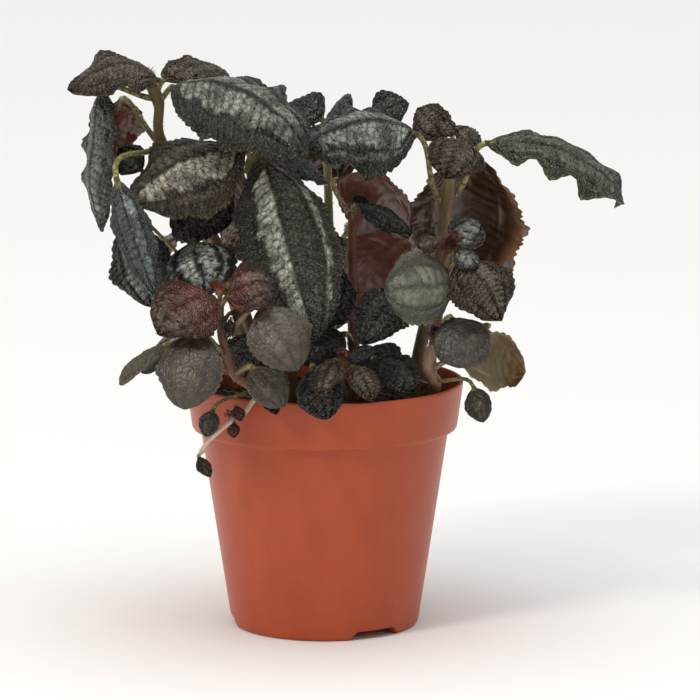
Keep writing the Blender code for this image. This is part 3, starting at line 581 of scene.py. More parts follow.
# young leaves, buds and dried scales: stem, joint, base, tip, facing, arch, width, fold, look
youngLeaves = [
    ("left_tall", 191, (-78, -8, 199), (-88, -10, 209), (-110, 40), 3, 16, 20, "dark"),
    ("left_tall", 233, (-75, 7, 237), (-80, 13, 240), (-60, 60), 1, 8, 10, "crown"),
    ("left_tall", 140, (-83, -22, 178), (-73, -25, 142), (-98, 14), 4, 28, 14, "darkSilver"),
    ("centre_left", 206, (-30, -20, 209), (-33, -28, 212), (-120, 50), 1, 8, 10, "crown"),
    ("centre_left", 206, (-28, -10, 208), (-24, -6, 209), (-60, 60), 1, 8, 10, "crown"),
    ("front_left", 150, (-44, -60, 155), (-45, -65, 160), (-100, 60), 1, 7, 10, "bud"),
    ("front_left", 150, (-43, -54, 153), (-40, -50, 154), (-80, 60), 1, 7, 10, "bud"),
    ("front_left", 140, (-39, -55, 145), (-34, -55, 144), (-80, 30), 1, 7, 10, "dry"),
    ("front_left", 136, (-41, -60, 141), (-38, -62, 138), (-80, 20), 1, 6, 10, "dry"),
    ("front_left", 118, (-70, -46, 128), (-77, -48, 118), (-120, 20), 1, 12, 10, "smoothBronze"),
    ("front_left", 112, (-47, -58, 104), (-50, -60, 93), (-110, 20), 1, 10, 14, "smoothBronze"),
    ("centre", 174, (14, 0, 183), (37, -12, 171), (-70, 50), 3, 14, 20, "dark"),
    ("centre", 176, (14, 14, 180), (18, 20, 183), (-60, 50), 1, 9, 10, "dark"),
    ("right_tall", 206, (52, 4, 211), (40, 22, 223), (-120, 40), 3, 18, 12, "crown"),
    ("right_tall", 207, (58, 2, 210), (66, 14, 213), (-70, 50), 2, 15, 12, "crown"),
    ("right_tall", 206, (55, 4, 212), (51, 9, 219), (-120, 50), 1, 8, 10, "crown"),
    ("right_front", 165, (55, -28, 169), (66, -18, 178), (-86, 36), 3, 18, 10, "darkSilver"),
    ("right_front", 165, (51, -32, 170), (39, -34, 170), (-100, 70), 2, 13, 10, "crown"),
    ("right_front", 166, (54, -34, 171), (56, -40, 177), (-90, 40), 1, 7, 10, "bud"),
    ("right_front", 164, (55, -38, 168), (65, -42, 162), (-80, 40), 2, 13, 14, "darkSilver"),
    ("right_front", 111, (63, -45, 111), (67, -49, 97), (-86, 14), 1, 12, 8, "smoothBronze"),
    ("front_small", 121, (4, -50, 124), (-2, -74, 114), (-98, 36), 2, 15, 12, "crown"),
    ("front_small", 121, (9, -44, 124), (21, -48, 128), (-80, 60), 1, 12, 10, "dark"),
    ("front_small", 117, (13, -50, 121), (20, -62, 109), (-76, 30), 2, 15, 12, "crown"),
    ("front_small", 122, (7, -42, 124), (9, -40, 127), (-90, 30), 1, 7, 10, "bud"),
    ("runner", 110, (-25, -58, 110), (-20, -66, 104), (-70, 50), 1, 9, 10, "dark"),
    ("runner", 103, (-37, -61, 106), (-35, -66, 101), (-80, 30), 1, 6, 10, "bud"),
    ("runner", 101, (-38, -62, 99), (-38, -67, 94), (-100, 40), 1, 6, 10, "bud"),
    ("runner", 86, (-53, -53, 83), (-48, -56, 75), (-60, 20), 1, 8, 24, "olive"),
    ("back_tall", 204, (-3, 47, 209), (-9, 53, 215), (120, 50), 1, 9, 10, "crown"),
    ("back_left", 163, (-50, 34, 168), (-54, 24, 172), (-90, 60), 1, 12, 10, "crown"),
    ("back_left", 163, (-48, 42, 168), (-42, 52, 172), (60, 60), 1, 12, 10, "crown"),
    ("back_right", 162, (52, 46, 168), (46, 54, 173), (110, 60), 1, 12, 10, "crown"),
    ("back_right", 162, (57, 45, 167), (64, 52, 170), (50, 60), 1, 12, 10, "crown"),
]


# leaf looks: the colours of the ground, the silver bands, the sunken veins, the margin, the heart of
# the leaf and the underside with its veins. inner and beyond: how silver the bands on either side of
# the lateral veins are, for both halves; reach: how far the heart colour goes; ladder: how dark the
# cross-veins are, their own dark colour together with painted shade in the valleys between the quilted
# rows; pucker: how bullate the surface is; puff: height of the strips between the main veins as a
# share of the width; roll: which margin rolls up, if any. pitch between cross-veins, relief of the
# quilting and wave of the margin are in millimetres.
looks = {
    "silver": dict(outer="#30322a", silver="#8e9284", vein="#17170f", edge="#544c36", heart="#3b3a2c",
                   under="#4d2c22", underVein="#8a6a55", inner=(1.0, 1.0), beyond=(0.75, 0.1), reach=0.1,
                   ladder=0.55, pucker=1.0, pitch=4.4, relief=0.85, puff=0.008, wave=3.0, roll=0),
    "greatSilver": dict(outer="#39392c", silver="#aaad9d", vein="#15150f", edge="#4b4735",
                        heart="#5a3a2e", under="#4d2c22", underVein="#8a6a55", inner=(0.12, 1.0),
                        beyond=(0.85, 0.0), reach=0.12, ladder=0.5, pucker=1.0, pitch=4.2, relief=0.54,
                        puff=0.008, wave=2.2, roll=0),
    "brownSilver": dict(outer="#453629", silver="#a8a593", vein="#1b140e", edge="#6c6040",
                        heart="#40342a", under="#47261d", underVein="#7c5b48", inner=(1.0, 0.3),
                        beyond=(0.15, 0.15), reach=0.1, ladder=0.6, pucker=1.0, pitch=4.0, relief=1.0,
                        puff=0.008, wave=2.8, roll=0),
    "darkSilver": dict(outer="#31342e", silver="#92978c", vein="#13140f", edge="#47493a",
                       heart="#3c3a2c", under="#46291f", underVein="#7a5c48", inner=(0.9, 0.9),
                       beyond=(0.5, 0.4), reach=0.1, ladder=0.65, pucker=1.0, pitch=3.2, relief=1.05,
                       puff=0.008, wave=3.0, roll=0),
    "greySilver": dict(outer="#454840", silver="#8f9489", vein="#171711", edge="#4a4034",
                       heart="#3c3a2c", under="#4b2c24", underVein="#7c6150", inner=(0.6, 0.42),
                       beyond=(0.35, 0.24), reach=0.1, ladder=0.5, pucker=1.0, pitch=3.4, relief=0.85,
                       puff=0.006, wave=2.6, roll=0),
    "bright": dict(outer="#2a2c22", silver="#c6c9c0", vein="#0e0f0a", edge="#453a2a", heart="#3d3824",
                   under="#4a271d", underVein="#7c5b48", inner=(1.0, 0.8), beyond=(0.7, 0.56), reach=0.1,
                   ladder=0.8, pucker=1.0, pitch=2.6, relief=1.3, puff=0.006, wave=1.4, roll=0),
    "darkLine": dict(outer="#28302c", silver="#84908c", vein="#0f120f", edge="#3f392c", heart="#30302a",
                     under="#472a22", underVein="#755948", inner=(0.75, 0.2), beyond=(0.0, 0.0),
                     reach=0.1, ladder=0.2, pucker=0.3, pitch=3.8, relief=0.3, puff=0.004, wave=1.0,
                     roll=0),
    "dark": dict(outer="#26281f", silver="#5a5d52", vein="#0e0f0b", edge="#352d24", heart="#2c2a20",
                 under="#3b2018", underVein="#644535", inner=(0.5, 0.3), beyond=(0.3, 0.18), reach=0.1,
                 ladder=0.6, pucker=1.0, pitch=2.8, relief=1.1, puff=0.008, wave=1.8, roll=0),
    "crown": dict(outer="#574838", silver="#958b78", vein="#1b120d", edge="#5e4433", heart="#57281c",
                  under="#5c2f24", underVein="#835946", inner=(0.5, 0.4), beyond=(0.35, 0.28), reach=0.2,
                  ladder=0.75, pucker=1.0, pitch=2.3, relief=1.35, puff=0.006, wave=2.6, roll=0),
    "smoothBronze": dict(outer="#33291c", silver="#51472f", vein="#1c140d", edge="#52492c",
                         heart="#5c4a2e", under="#5c3a2c", underVein="#8a6c55", inner=(0.7, 0.6),
                         beyond=(0.15, 0.15), reach=0.15, ladder=0.3, pucker=0.35, pitch=5.0, relief=0.2,
                         puff=0.006, wave=1.0, roll=0),
    "mauveBronze": dict(outer="#392e24", silver="#5f5346", vein="#20160f", edge="#524330",
                        heart="#5f4a34", under="#5c3a2c", underVein="#8a6c55", inner=(0.7, 0.7),
                        beyond=(0.2, 0.2), reach=0.15, ladder=0.3, pucker=0.35, pitch=4.6, relief=0.22,
                        puff=0.006, wave=1.2, roll=0),
    "greyBronze": dict(outer="#2b261e", silver="#474335", vein="#1f1a14", edge="#463a29",
                       heart="#4a3422", under="#563a30", underVein="#7c6150", inner=(0.6, 0.48),
                       beyond=(0.4, 0.32), reach=0.15, ladder=0.35, pucker=0.7, pitch=3.2, relief=0.5,
                       puff=0.008, wave=1.0, roll=0),
    "twoBands": dict(outer="#34352a", silver="#6a6c57", vein="#1f2016", edge="#676244", heart="#5a5638",
                     under="#5a4434", underVein="#7c6c55", inner=(1.0, 1.0), beyond=(0.15, 0.15),
                     reach=0.1, ladder=0.25, pucker=0.5, pitch=3.6, relief=0.22, puff=0.024, wave=0.5,
                     roll=0),
    "olive": dict(outer="#3f3a22", silver="#4f4a30", vein="#282512", edge="#5b5434", heart="#5f5833",
                  under="#564c2f", underVein="#8a7c50", inner=(0.4, 0.4), beyond=(0.3, 0.3), reach=0.15,
                  ladder=0.55, pucker=1.0, pitch=3.2, relief=0.55, puff=0.006, wave=1.0, roll=0),
    "green": dict(outer="#474c3c", silver="#8c917f", vein="#1f2016", edge="#8a8452", heart="#5a5638",
                  under="#6d6040", underVein="#928455", inner=(0.5, 0.4), beyond=(0.4, 0.32), reach=0.1,
                  ladder=0.4, pucker=1.0, pitch=3.0, relief=0.6, puff=0.012, wave=4.0, roll=0),
    "red": dict(outer="#4f382a", silver="#948070", vein="#451a11", edge="#4a2c20", heart="#8c3325",
                under="#5c2b21", underVein="#85493a", inner=(0.55, 0.55), beyond=(0.4, 0.4), reach=0.55,
                ladder=0.5, pucker=1.0, pitch=2.2, relief=0.9, puff=0.006, wave=1.8, roll=0),
    "redUnder": dict(outer="#2b2d25", silver="#5f625a", vein="#12120d", edge="#8a5c50", heart="#3a3424",
                     under="#80544f", underVein="#ab8579", inner=(0.6, 0.48), beyond=(0.4, 0.32),
                     reach=0.1, ladder=0.5, pucker=1.0, pitch=4.2, relief=0.5, puff=0.008, wave=1.8,
                     roll=0),
    # brownUnder: the dark underside colour is painted shade, the inside of the hanging leaf as it lies in shadow; the
    # pale vein colour also paints the rolled margin lighter, a painted highlight on the fold
    "brownUnder": dict(outer="#2b2d25", silver="#5f625a", vein="#12120d", edge="#97705f",
                       heart="#3a3424", under="#3f2a20", underVein="#97705f", inner=(0.6, 0.48),
                       beyond=(0.4, 0.32), reach=0.1, ladder=0.5, pucker=1.0, pitch=4.2, relief=0.72,
                       puff=0.008, wave=3.0, roll=-1),
    # deep: leaves deep inside the plant, coloured near-black brown as painted shade, the shadow they sit in painted
    # into their colours
    "deep": dict(outer="#2e1b12", silver="#3b2f28", vein="#120c08", edge="#3c2a20", heart="#3a2418",
                 under="#5a2c20", underVein="#6b4334", inner=(0.3, 0.24), beyond=(0.2, 0.16), reach=0.1,
                 ladder=0.5, pucker=1.0, pitch=3.4, relief=0.72, puff=0.008, wave=1.8, roll=0),
    "bud": dict(outer="#62291f", silver="#855547", vein="#421710", edge="#662a1e", heart="#7a2a1c",
                under="#662c21", underVein="#854e3d", inner=(0.4, 0.4), beyond=(0.2, 0.2), reach=0.4,
                ladder=0.4, pucker=1.0, pitch=1.6, relief=0.36, puff=0.008, wave=0.3, roll=0),
    "dry": dict(outer="#452f22", silver="#604c3a", vein="#22170f", edge="#4e3525", heart="#4e3525",
                under="#43301f", underVein="#5f4735", inner=(0.4, 0.4), beyond=(0.2, 0.2), reach=0.1,
                ladder=0.4, pucker=1.0, pitch=1.6, relief=0.48, puff=0.008, wave=0.5, roll=0),
}

leafShape = {
    "blade": 0.7,  # millimetres
    "stalk": 1.15,
    "youngStalk": 0.8,
    "youngBlunt": 0.6,
    "warmth": np.array([1.02, 0.97, 0.78]),
    "tooth": 0.07,  # share of the half width
    "toothPitch": 3.1,
    "fineness": ((60.0, 100, 46), (46.0, 84, 42), (30.0, 64, 36), (18.0, 46, 28), (0.0, 26, 18)),
    "stalkRings": 9,
    "mapScale": 100.0,  # the leaf map is in units of 100 mm
}


def mathNode(tree, operation, *values):
    # a Math node whose inputs are sockets or numbers
    node = addNode(tree, "ShaderNodeMath", {"operation": operation})
    for socket, value in zip(node.inputs, values):
        if isinstance(value, bpy.types.NodeSocket):
            tree.links.new(value, socket)
        else:
            socket.default_value = value
    return node.outputs["Value"]


def cellNet(tree, surface, cell, random):
    # distance to the edge of irregular cells, the cell size in millimetres
    warp = addNode(tree, "ShaderNodeTexNoise", {"noise_dimensions": "2D"}, {
        "Vector": surface, "Scale": 45.0, "Detail": 2.0})
    shifted = addNode(tree, "ShaderNodeVectorMath", {"operation": "MULTIPLY_ADD"})
    tree.links.new(warp.outputs["Color"], shifted.inputs[0])
    shifted.inputs[1].default_value = (0.03, 0.03, 0.0)
    tree.links.new(surface, shifted.inputs[2])
    net = addNode(tree, "ShaderNodeTexVoronoi", {"feature": "DISTANCE_TO_EDGE", "voronoi_dimensions": "2D"}, {
        "Vector": shifted.outputs["Vector"], "Scale": leafShape["mapScale"] / cell, "Randomness": random})
    return net.outputs["Distance"], shifted.outputs["Vector"]


def leafMaterial(name, setup):
    # living leaf: waxy satin. Where the attribute "bullate" is 1 it is puckered into small cells and
    # rows that catch highlights, where it is 0 it is smooth, with a wide net of thin dark veins, and
    # where it is -1, on the underside, it has neither.
    material, tree, shader = newMaterial(name, {
        "Roughness": setup["roughness"], "IOR": 1.5, "Specular IOR Level": 0.75})
    tint = addNode(tree, "ShaderNodeAttribute", {"attribute_name": "tint"})
    mark = addNode(tree, "ShaderNodeAttribute", {"attribute_name": "bullate"}).outputs["Fac"]
    bullate = mathNode(tree, "MAXIMUM", mark, 0.0)
    upperFace = mathNode(tree, "MINIMUM", mathNode(tree, "ADD", mark, 1.0), 1.0)
    surface = addNode(tree, "ShaderNodeUVMap", {"uv_map": "surfaceMap"}).outputs["UV"]
    small, shifted = cellNet(tree, surface, setup["cell"], 1.0)
    wide, _ = cellNet(tree, surface, setup["wideCell"], 0.9)
    smallLines = addNode(tree, "ShaderNodeMapRange", None, {
        "Value": small, "From Min": 0.02, "From Max": 0.24, "To Min": setup["netDarkness"], "To Max": 0.0})
    wideLines = addNode(tree, "ShaderNodeMapRange", None, {
        "Value": wide, "From Min": 0.01, "From Max": 0.07, "To Min": setup["veinDarkness"], "To Max": 0.0})
    place = addNode(tree, "ShaderNodeTexCoord").outputs["Object"]
    mottle = addNode(tree, "ShaderNodeTexNoise", None, {
        "Vector": place, "Scale": 240.0, "Detail": 5.0, "Roughness": 0.65})  # 4 mm blotches and finer
    shade = addNode(tree, "ShaderNodeMapRange", None, {
        "Value": mottle.outputs["Fac"], "From Min": 0.3, "From Max": 0.7, "To Min": 0.72, "To Max": 1.3})
    puckered = mathNode(tree, "MULTIPLY", smallLines.outputs["Result"], bullate)
    netted = mathNode(tree, "MULTIPLY", wideLines.outputs["Result"], upperFace)
    dark = mathNode(tree, "MAXIMUM", puckered, netted)
    strength = mathNode(tree, "MULTIPLY", mathNode(tree, "SUBTRACT", 1.0, dark), shade.outputs["Result"])
    coloured = addNode(tree, "ShaderNodeVectorMath", {"operation": "SCALE"})
    tree.links.new(tint.outputs["Color"], coloured.inputs[0])
    tree.links.new(strength, coloured.inputs["Scale"])
    tree.links.new(coloured.outputs["Vector"], shader.inputs["Base Color"])
    # rows: |sin| of (x - 0.75 |y|) over the pitch, a herringbone on either side of the midrib
    parts = addNode(tree, "ShaderNodeSeparateXYZ", None, {"Vector": shifted})
    lean = mathNode(tree, "MULTIPLY_ADD", mathNode(tree, "ABSOLUTE", parts.outputs["Y"]), -0.75,
                    parts.outputs["X"])
    turn = mathNode(tree, "MULTIPLY", lean, leafShape["mapScale"] / setup["rowPitch"] * math.pi)
    rows = mathNode(tree, "ABSOLUTE", mathNode(tree, "SINE", turn))
    dome = addNode(tree, "ShaderNodeMapRange", None, {
        "Value": small, "From Min": 0.0, "From Max": 0.4, "To Min": 0.0, "To Max": 1.0})
    fine = mathNode(tree, "MULTIPLY_ADD", rows, setup["rowShare"], dome.outputs["Result"])
    pucker = mathNode(tree, "MULTIPLY", fine, mathNode(tree, "MULTIPLY_ADD", bullate, 0.85, 0.15))
    wideDome = addNode(tree, "ShaderNodeMapRange", None, {
        "Value": wide, "From Min": 0.0, "From Max": 0.16, "To Min": 0.0, "To Max": 0.7})
    bump = addNode(tree, "ShaderNodeBump", None, {
        "Height": mathNode(tree, "MULTIPLY", mathNode(tree, "ADD", pucker, wideDome.outputs["Result"]), upperFace),
        "Strength": 1.0, "Distance": setup["bump"] * mm})
    tree.links.new(bump.outputs["Normal"], shader.inputs["Normal"])
    return material


# cells, rows and bump heights in millimetres
leafSkins = {
    "quilted": leafMaterial("quiltedLeafSkin", {
        "cell": 1.7, "wideCell": 3.4, "roughness": 0.25, "netDarkness": 0.6, "veinDarkness": 0.6,
        "rowPitch": 2.1, "rowShare": 1.3, "bump": 0.95}),
    "fine": leafMaterial("finelyQuiltedLeafSkin", {
        "cell": 1.0, "wideCell": 2.4, "roughness": 0.25, "netDarkness": 0.5, "veinDarkness": 0.4,
        "rowPitch": 1.5, "rowShare": 2.4, "bump": 0.8}),
    "smooth": leafMaterial("smoothLeafSkin", {
        "cell": 1.4, "wideCell": 3.2, "roughness": 0.4, "netDarkness": 0.12, "veinDarkness": 0.22,
        "rowPitch": 2.2, "rowShare": 0.4, "bump": 0.2}),
}
skinOfLook = {"crown": "fine", "red": "fine", "bud": "fine", "dry": "fine", "smoothBronze": "smooth",
              "mauveBronze": "smooth", "greyBronze": "smooth", "twoBands": "smooth", "olive": "smooth"}


def aim(turn, lift):
    turn, lift = math.radians(turn), math.radians(lift)
    return np.array([math.cos(lift) * math.cos(turn), math.cos(lift) * math.sin(turn), math.sin(lift)])


def jointOn(path, radii, height, near):
    # point, direction and radius where a stem passes this height, the pass nearest to a place
    above = path[:, 2] >= height
    passes = np.flatnonzero(above[1:] != above[:-1])
    if not len(passes):
        passes = np.array([len(path) - 2])
    k = passes[np.argmin(np.linalg.norm(path[passes] - near, axis=1))]
    a, b = path[k], path[k + 1]
    share = float(np.clip((height - a[2]) / (b[2] - a[2]), 0, 1))
    along = (k + share) / (len(path) - 1)
    return a + (b - a) * share, unit(b - a), radii[0] + (radii[1] - radii[0]) * along


def bladeGrid(leaf, look, rows, columns, random):
    # u runs from base to tip and s across, 1 to -1 on the upper face and back on the lower one.
    # The midrib is base + (tip - base) u + normal arch 4u(1-u), the half width is
    # width/2 sin(pi u^(0.8 + 0.2 blunt))^(0.75 - 0.2 blunt) with rounded teeth at the margin, and a
    # point drops |s|^1.4 sin(fold) half widths. The quilting is |sin| of the distance along the veins.
    base, tip, face, arch, width, fold, blunt = leaf
    base, tip = np.array(base, float), np.array(tip, float)
    length = float(np.linalg.norm(tip - base))
    chord = (tip - base) / length
    aimed = aim(*face)
    normal = unit(aimed - chord * (aimed @ chord))
    left = np.cross(normal, chord)
    t = np.linspace(0, 1, rows)
    u = 0.012 + 0.988 * (t - 0.055 * np.sin(2 * math.pi * t))
    midrib = base + (tip - base) * u[:, None] + normal * (arch * 4 * u * (1 - u))[:, None]
    slope = unit((tip - base) + normal * (arch * 4 * (1 - 2 * u))[:, None])
    up = np.cross(slope, left)
    half = width / 2 * np.sin(math.pi * np.minimum(u, 0.9995) ** (0.8 + 0.2 * blunt)) ** (0.75 - 0.2 * blunt)
    half = np.maximum(half, 1.0 * (1 - u) + 0.3)[:, None]
    across = np.sin(np.linspace(1, -1, columns) * math.pi / 2) * 0.5 + np.linspace(1, -1, columns) * 0.5
    s = np.concatenate([across, across[::-1]])[None]
    upper = np.repeat([1.0, -1.0], columns)[None]
    u = u[:, None]
    x, y = u * length, s * half
    ay, sideSign = np.abs(y), np.where(s >= 0, 1.0, -1.0)
    teeth = 1 - np.abs(np.sin(math.pi * x / leafShape["toothPitch"])) ** 0.8
    lobes = 0.06 * softNoise(np.stack([x + 0 * s, 30 * sideSign + 0 * x], -1), 11, random, 4)
    reach = s * half * (1 - leafShape["tooth"] * teeth * np.abs(s) ** 8 + lobes * np.abs(s) ** 4)
    # veins: the midrib, two laterals that leave its base and the ladder of cross-veins
    lateral = 0.62 * smoothStep(u, 0.0, 0.17) * (1 - 0.2 * u) * half
    fineness = min(1.0, 0.45 + width / 60)
    midLine, lateralLine = groove(ay, 0.4 * fineness), groove(ay - lateral, 0.3 * fineness)
    wander = 0.35 * softNoise(np.concatenate([x + 0 * s, y], -1).reshape(rows, 2, -1).swapaxes(1, 2),
                              look["pitch"] * 5, random)
    inner = ay < lateral
    ladder = np.where(inner, x - 0.3 * ay, x - 0.75 * ay + 0.45 * lateral) / look["pitch"] + wander
    ladder = ladder + 0.37 * (sideSign > 0)
    row = np.clip(np.floor(ladder).astype(int) + 100 * (sideSign > 0) + 200 * inner + 40, 0, 499)
    offsets = random.uniform(0, 1, (4, 500))
    ridge = np.abs(np.sin(math.pi * ladder)) ** 0.5
    cells = np.abs(np.sin(math.pi * (ay / (look["pitch"] * 0.9) + offsets[0][row]))) ** 0.5
    pillow = ridge * (0.5 + 0.5 * cells) * (0.65 + 0.35 * offsets[1][row])
    calm = smoothStep(1 - np.abs(s), 0.0, 0.1) * smoothStep(u, 0.0, 0.06) * smoothStep(1 - u, 0.0, 0.05)
    relief = look["relief"] * (pillow * (1 - midLine) * (1 - lateralLine) - 0.45) * calm
    relief -= (0.45 * midLine + 0.3 * lateralLine) * calm * (0.4 + look["relief"])
    # the margin waves up and down and the whole blade twists a little
    waves = softNoise(np.stack([x + 0 * s, 9 * sideSign + 0 * x], -1), 17, random, 4)
    ripple = look["wave"] * min(1.0, width / 34) * np.abs(s) ** 2.5 * smoothStep(u, 0.05, 0.3) * waves
    ripple = ripple + random.uniform(-0.1, 0.1) * y * (u - 0.3)
    # each strip between midrib, lateral vein and margin is puffed up: |sin| of the way across it
    acrossStrip = np.where(inner, ay / np.maximum(lateral, 0.4), (ay - lateral) / np.maximum(half - lateral, 0.4))
    puff = look["puff"] * width * np.abs(np.sin(math.pi * np.clip(acrossStrip, 0, 1))) ** 0.7 * calm
    puff = puff * (1 + 0.5 * softNoise(np.stack([x + 0 * s, y], -1), 20, random, 4))
    bend = 0.5 * min(1.0, width / 34) * softNoise((x + 0 * s)[..., None], 24, random, 3) * calm
    thickness = leafShape["blade"] * (0.45 + 0.55 * smoothStep(1 - np.abs(s), 0, 0.15)) * min(1.0, width / 14)
    foldAngle = math.radians(fold)
    drop = np.abs(s) ** 1.4 * half * math.sin(foldAngle)
    curl = 0.05 * length * smoothStep(u, 0.72, 1.1) ** 2
    height = upper * thickness / 2 + relief * min(1.0, width / 16) + ripple + puff + bend - drop - curl
    rolled = smoothStep(look["roll"] * s, 0.6, 0.92) * smoothStep(u, 0.05, 0.25)
    height = height - abs(look["roll"]) * 6.0 * rolled
    points = midrib[:, None] + (reach * math.cos(foldAngle))[..., None] * left
    points = points + height[..., None] * up[:, None]
    # colours, all but the silver a little warmer than listed
    colour = {key: linearColour(value) * (1 if key == "silver" else leafShape["warmth"])
              for key, value in look.items() if isinstance(value, str)}
    flat = np.stack([x + 0 * s, y], -1)
    patches = np.clip(0.75 + 0.3 * softNoise(flat, 14, random), 0.25, 1.1)
    blotch = 1 + 0.16 * softNoise(flat, 7, random)
    # the inner band lies between midrib and lateral vein, the outer one beyond it. Each ends at its own
    # place in every row between two cross-veins, so that the edges are stepped.
    within = ay / np.maximum(lateral, 0.4)
    beyond = (ay - lateral) / np.maximum(half - lateral, 0.4)
    innerBand = smoothStep(within, 0.02 + 0.12 * offsets[2][row], 0.07 + 0.12 * offsets[2][row])
    innerBand = innerBand * (1 - smoothStep(within, 0.7 + 0.32 * offsets[3][row], 0.76 + 0.32 * offsets[3][row]))
    outerBand = smoothStep(beyond, 0.06 + 0.15 * offsets[2][row], 0.14 + 0.15 * offsets[2][row])
    outerBand = outerBand * (1 - smoothStep(beyond, 0.28 + 0.2 * offsets[3][row], 0.36 + 0.2 * offsets[3][row]))
    side = (sideSign < 0).astype(int)
    silver = np.where(inner, np.array(look["inner"])[side] * innerBand, np.array(look["beyond"])[side] * outerBand)
    silver = silver * smoothStep(u, 0.03, 0.12) * (1 - smoothStep(u, 0.82, 0.96)) * patches
    silver = np.clip(silver * smoothStep(ridge, 0.1, 0.45), 0, 1)
    heart = np.exp(-(u / (look["reach"] + 1e-6)) ** 2 - (ay / (width * look["reach"])) ** 2)[..., None]
    ground = colour["outer"] + (colour["heart"] - colour["outer"]) * heart
    top = ground + (colour["silver"] - ground) * silver[..., None]
    # painted highlight and shade: the tops of the quilted pillows are painted lighter and the hollows between them
    # darker, as the light would fall on them; blotch is random tone
    top = top * ((0.5 + 0.75 * pillow) * blotch)[..., None]
    # the cross-vein lines are the veins' own dark colour and also painted shade in the valleys between the quilted rows
    crossLine = look["ladder"] * (1 - ridge) ** 1.5
    lines = np.clip(0.8 * midLine + 0.55 * lateralLine + crossLine, 0, 0.9)[..., None]
    top = top + (colour["vein"] - top) * lines
    rim = (smoothStep(np.abs(s), 0.9, 0.99) * 0.75)[..., None]
    top = top + (colour["edge"] - top) * rim
    # painted highlight and shade on the underside as well: the quilted pillows a little lighter and the hollows darker;
    # blotch is random tone
    below = colour["under"] * (0.9 + 0.12 * pillow)[..., None] * blotch[..., None]
    ribs = np.clip(0.9 * midLine + 0.8 * lateralLine + 0.3 * (1 - ridge) ** 1.5, 0, 0.95)[..., None]
    # on the rolled margin the pale vein colour is a painted highlight on the fold
    below = below + (colour["underVein"] - below) * np.maximum(np.maximum(ribs, rim), 0.8 * rolled[..., None])
    tints = np.where(upper[..., None] > 0, top, below)
    heart = smoothStep(0.09 - u, 0, 0.07)[..., None] * groove(ay, 2.2)[..., None]
    tints = tints + (linearColour("#8f8a4e") - tints) * heart * 0.8
    maps = flat / leafShape["mapScale"] + (random.uniform(0, 9), 0)
    bullate = np.where(upper > 0, (1 - 0.95 * np.clip(silver * 1.4, 0, 1)) * look["pucker"], -1.0)
    return points, np.clip(tints, 0, 1), maps, bullate, slope[0], left


def stalkGrid(start, lift, base, slope, left, radius, size, count, bulge):
    # round rings along a Bezier curve from the stem to the blade, a little thicker at both ends
    reach = np.linalg.norm(base - start)
    p0, p1, p2, p3 = start, start + lift * reach * 0.4, base - slope * reach * 0.35, base
    q = np.linspace(0, 0.97, count)[:, None]
    r = 1 - q
    centre = r ** 3 * p0 + 3 * r * r * q * p1 + 3 * r * q * q * p2 + q ** 3 * p3
    along = unit(3 * r * r * (p1 - p0) + 6 * r * q * (p2 - p1) + 3 * q * q * (p3 - p2))
    side = unit(left - along * (along @ left)[:, None] + 1e-6 * slope)
    over = np.cross(along, side)
    angles = math.pi / size + np.arange(size) * 2 * math.pi / size
    ring = np.cos(angles)[None, :, None] * side[:, None] + np.sin(angles)[None, :, None] * over[:, None]
    width = radius * (1 + bulge * (1 - q) ** 6 + 0.12 * q ** 4)
    return centre[:, None] + ring * width[..., None], ring, centre


def growLeaf(leaf, lookName, joint, stem, young, random):
    # a stalk and a blade in one closed surface of rings
    look = looks[lookName]
    base, tip = leaf[0], leaf[1]
    length = math.dist(base, tip)
    rows, columns = next(item[1:] for item in leafShape["fineness"] if length >= item[0])
    blade, tints, maps, bullate, slope, left = bladeGrid(leaf, look, rows, columns, random)
    path, radii = stem["path"], stem["radii"]
    base = np.array(base, float)
    root, axis, radius = jointOn(path, radii, joint, base)
    reach = base - root
    out = unit(reach - axis * (reach @ axis) + 1e-6 * left)
    lift = unit(out + 0.9 * axis * np.clip(unit(reach) @ axis, -0.9, 1.2))
    thick = leafShape["youngStalk"] if young else leafShape["stalk"]
    start = root if young else root + out * radius * 0.6
    size = 2 * columns
    stalk, ring, centre = stalkGrid(start, lift, base, slope, left, thick, size, leafShape["stalkRings"],
                                    0.0 if young else 0.35)
    count = len(stalk)
    fade = np.linspace(0, 1, count)[:, None, None]
    stalkTint = stem["top"] * (1 - fade) + linearColour("#99914f") * fade
    stalkTint = stalkTint * (0.9 + 0.2 * random.uniform(size=(count, 1, 1))) * np.ones((1, size, 3))
    angle = np.broadcast_to(np.arange(size)[None, :, None] / size * 0.07, (count, size, 1))
    down = -np.linspace(1, 0.02, count)[:, None, None] * np.linalg.norm(base - start) / leafShape["mapScale"]
    stalkMap = np.concatenate([down * np.ones((1, size, 1)), angle], -1)
    rings = np.concatenate([stalk, blade])
    spots = random.integers(0, size, 60), random.integers(1, count, 60)
    hairs = (stalk[spots[1], spots[0]], ring[spots[1], spots[0]])
    smooth = np.zeros((count, size))
    return rings, np.concatenate([stalkTint, tints]), np.concatenate([stalkMap, maps]), np.concatenate(
        [smooth, bullate]), hairs


def hairMaterial():
    # fine plant hair: translucent, pale with a red tinge
    material, tree, shader = newMaterial("leafHair", {
        "Base Color": (*linearColour("#b79a80"), 1), "Roughness": 0.6, "Specular IOR Level": 0.3})
    return material


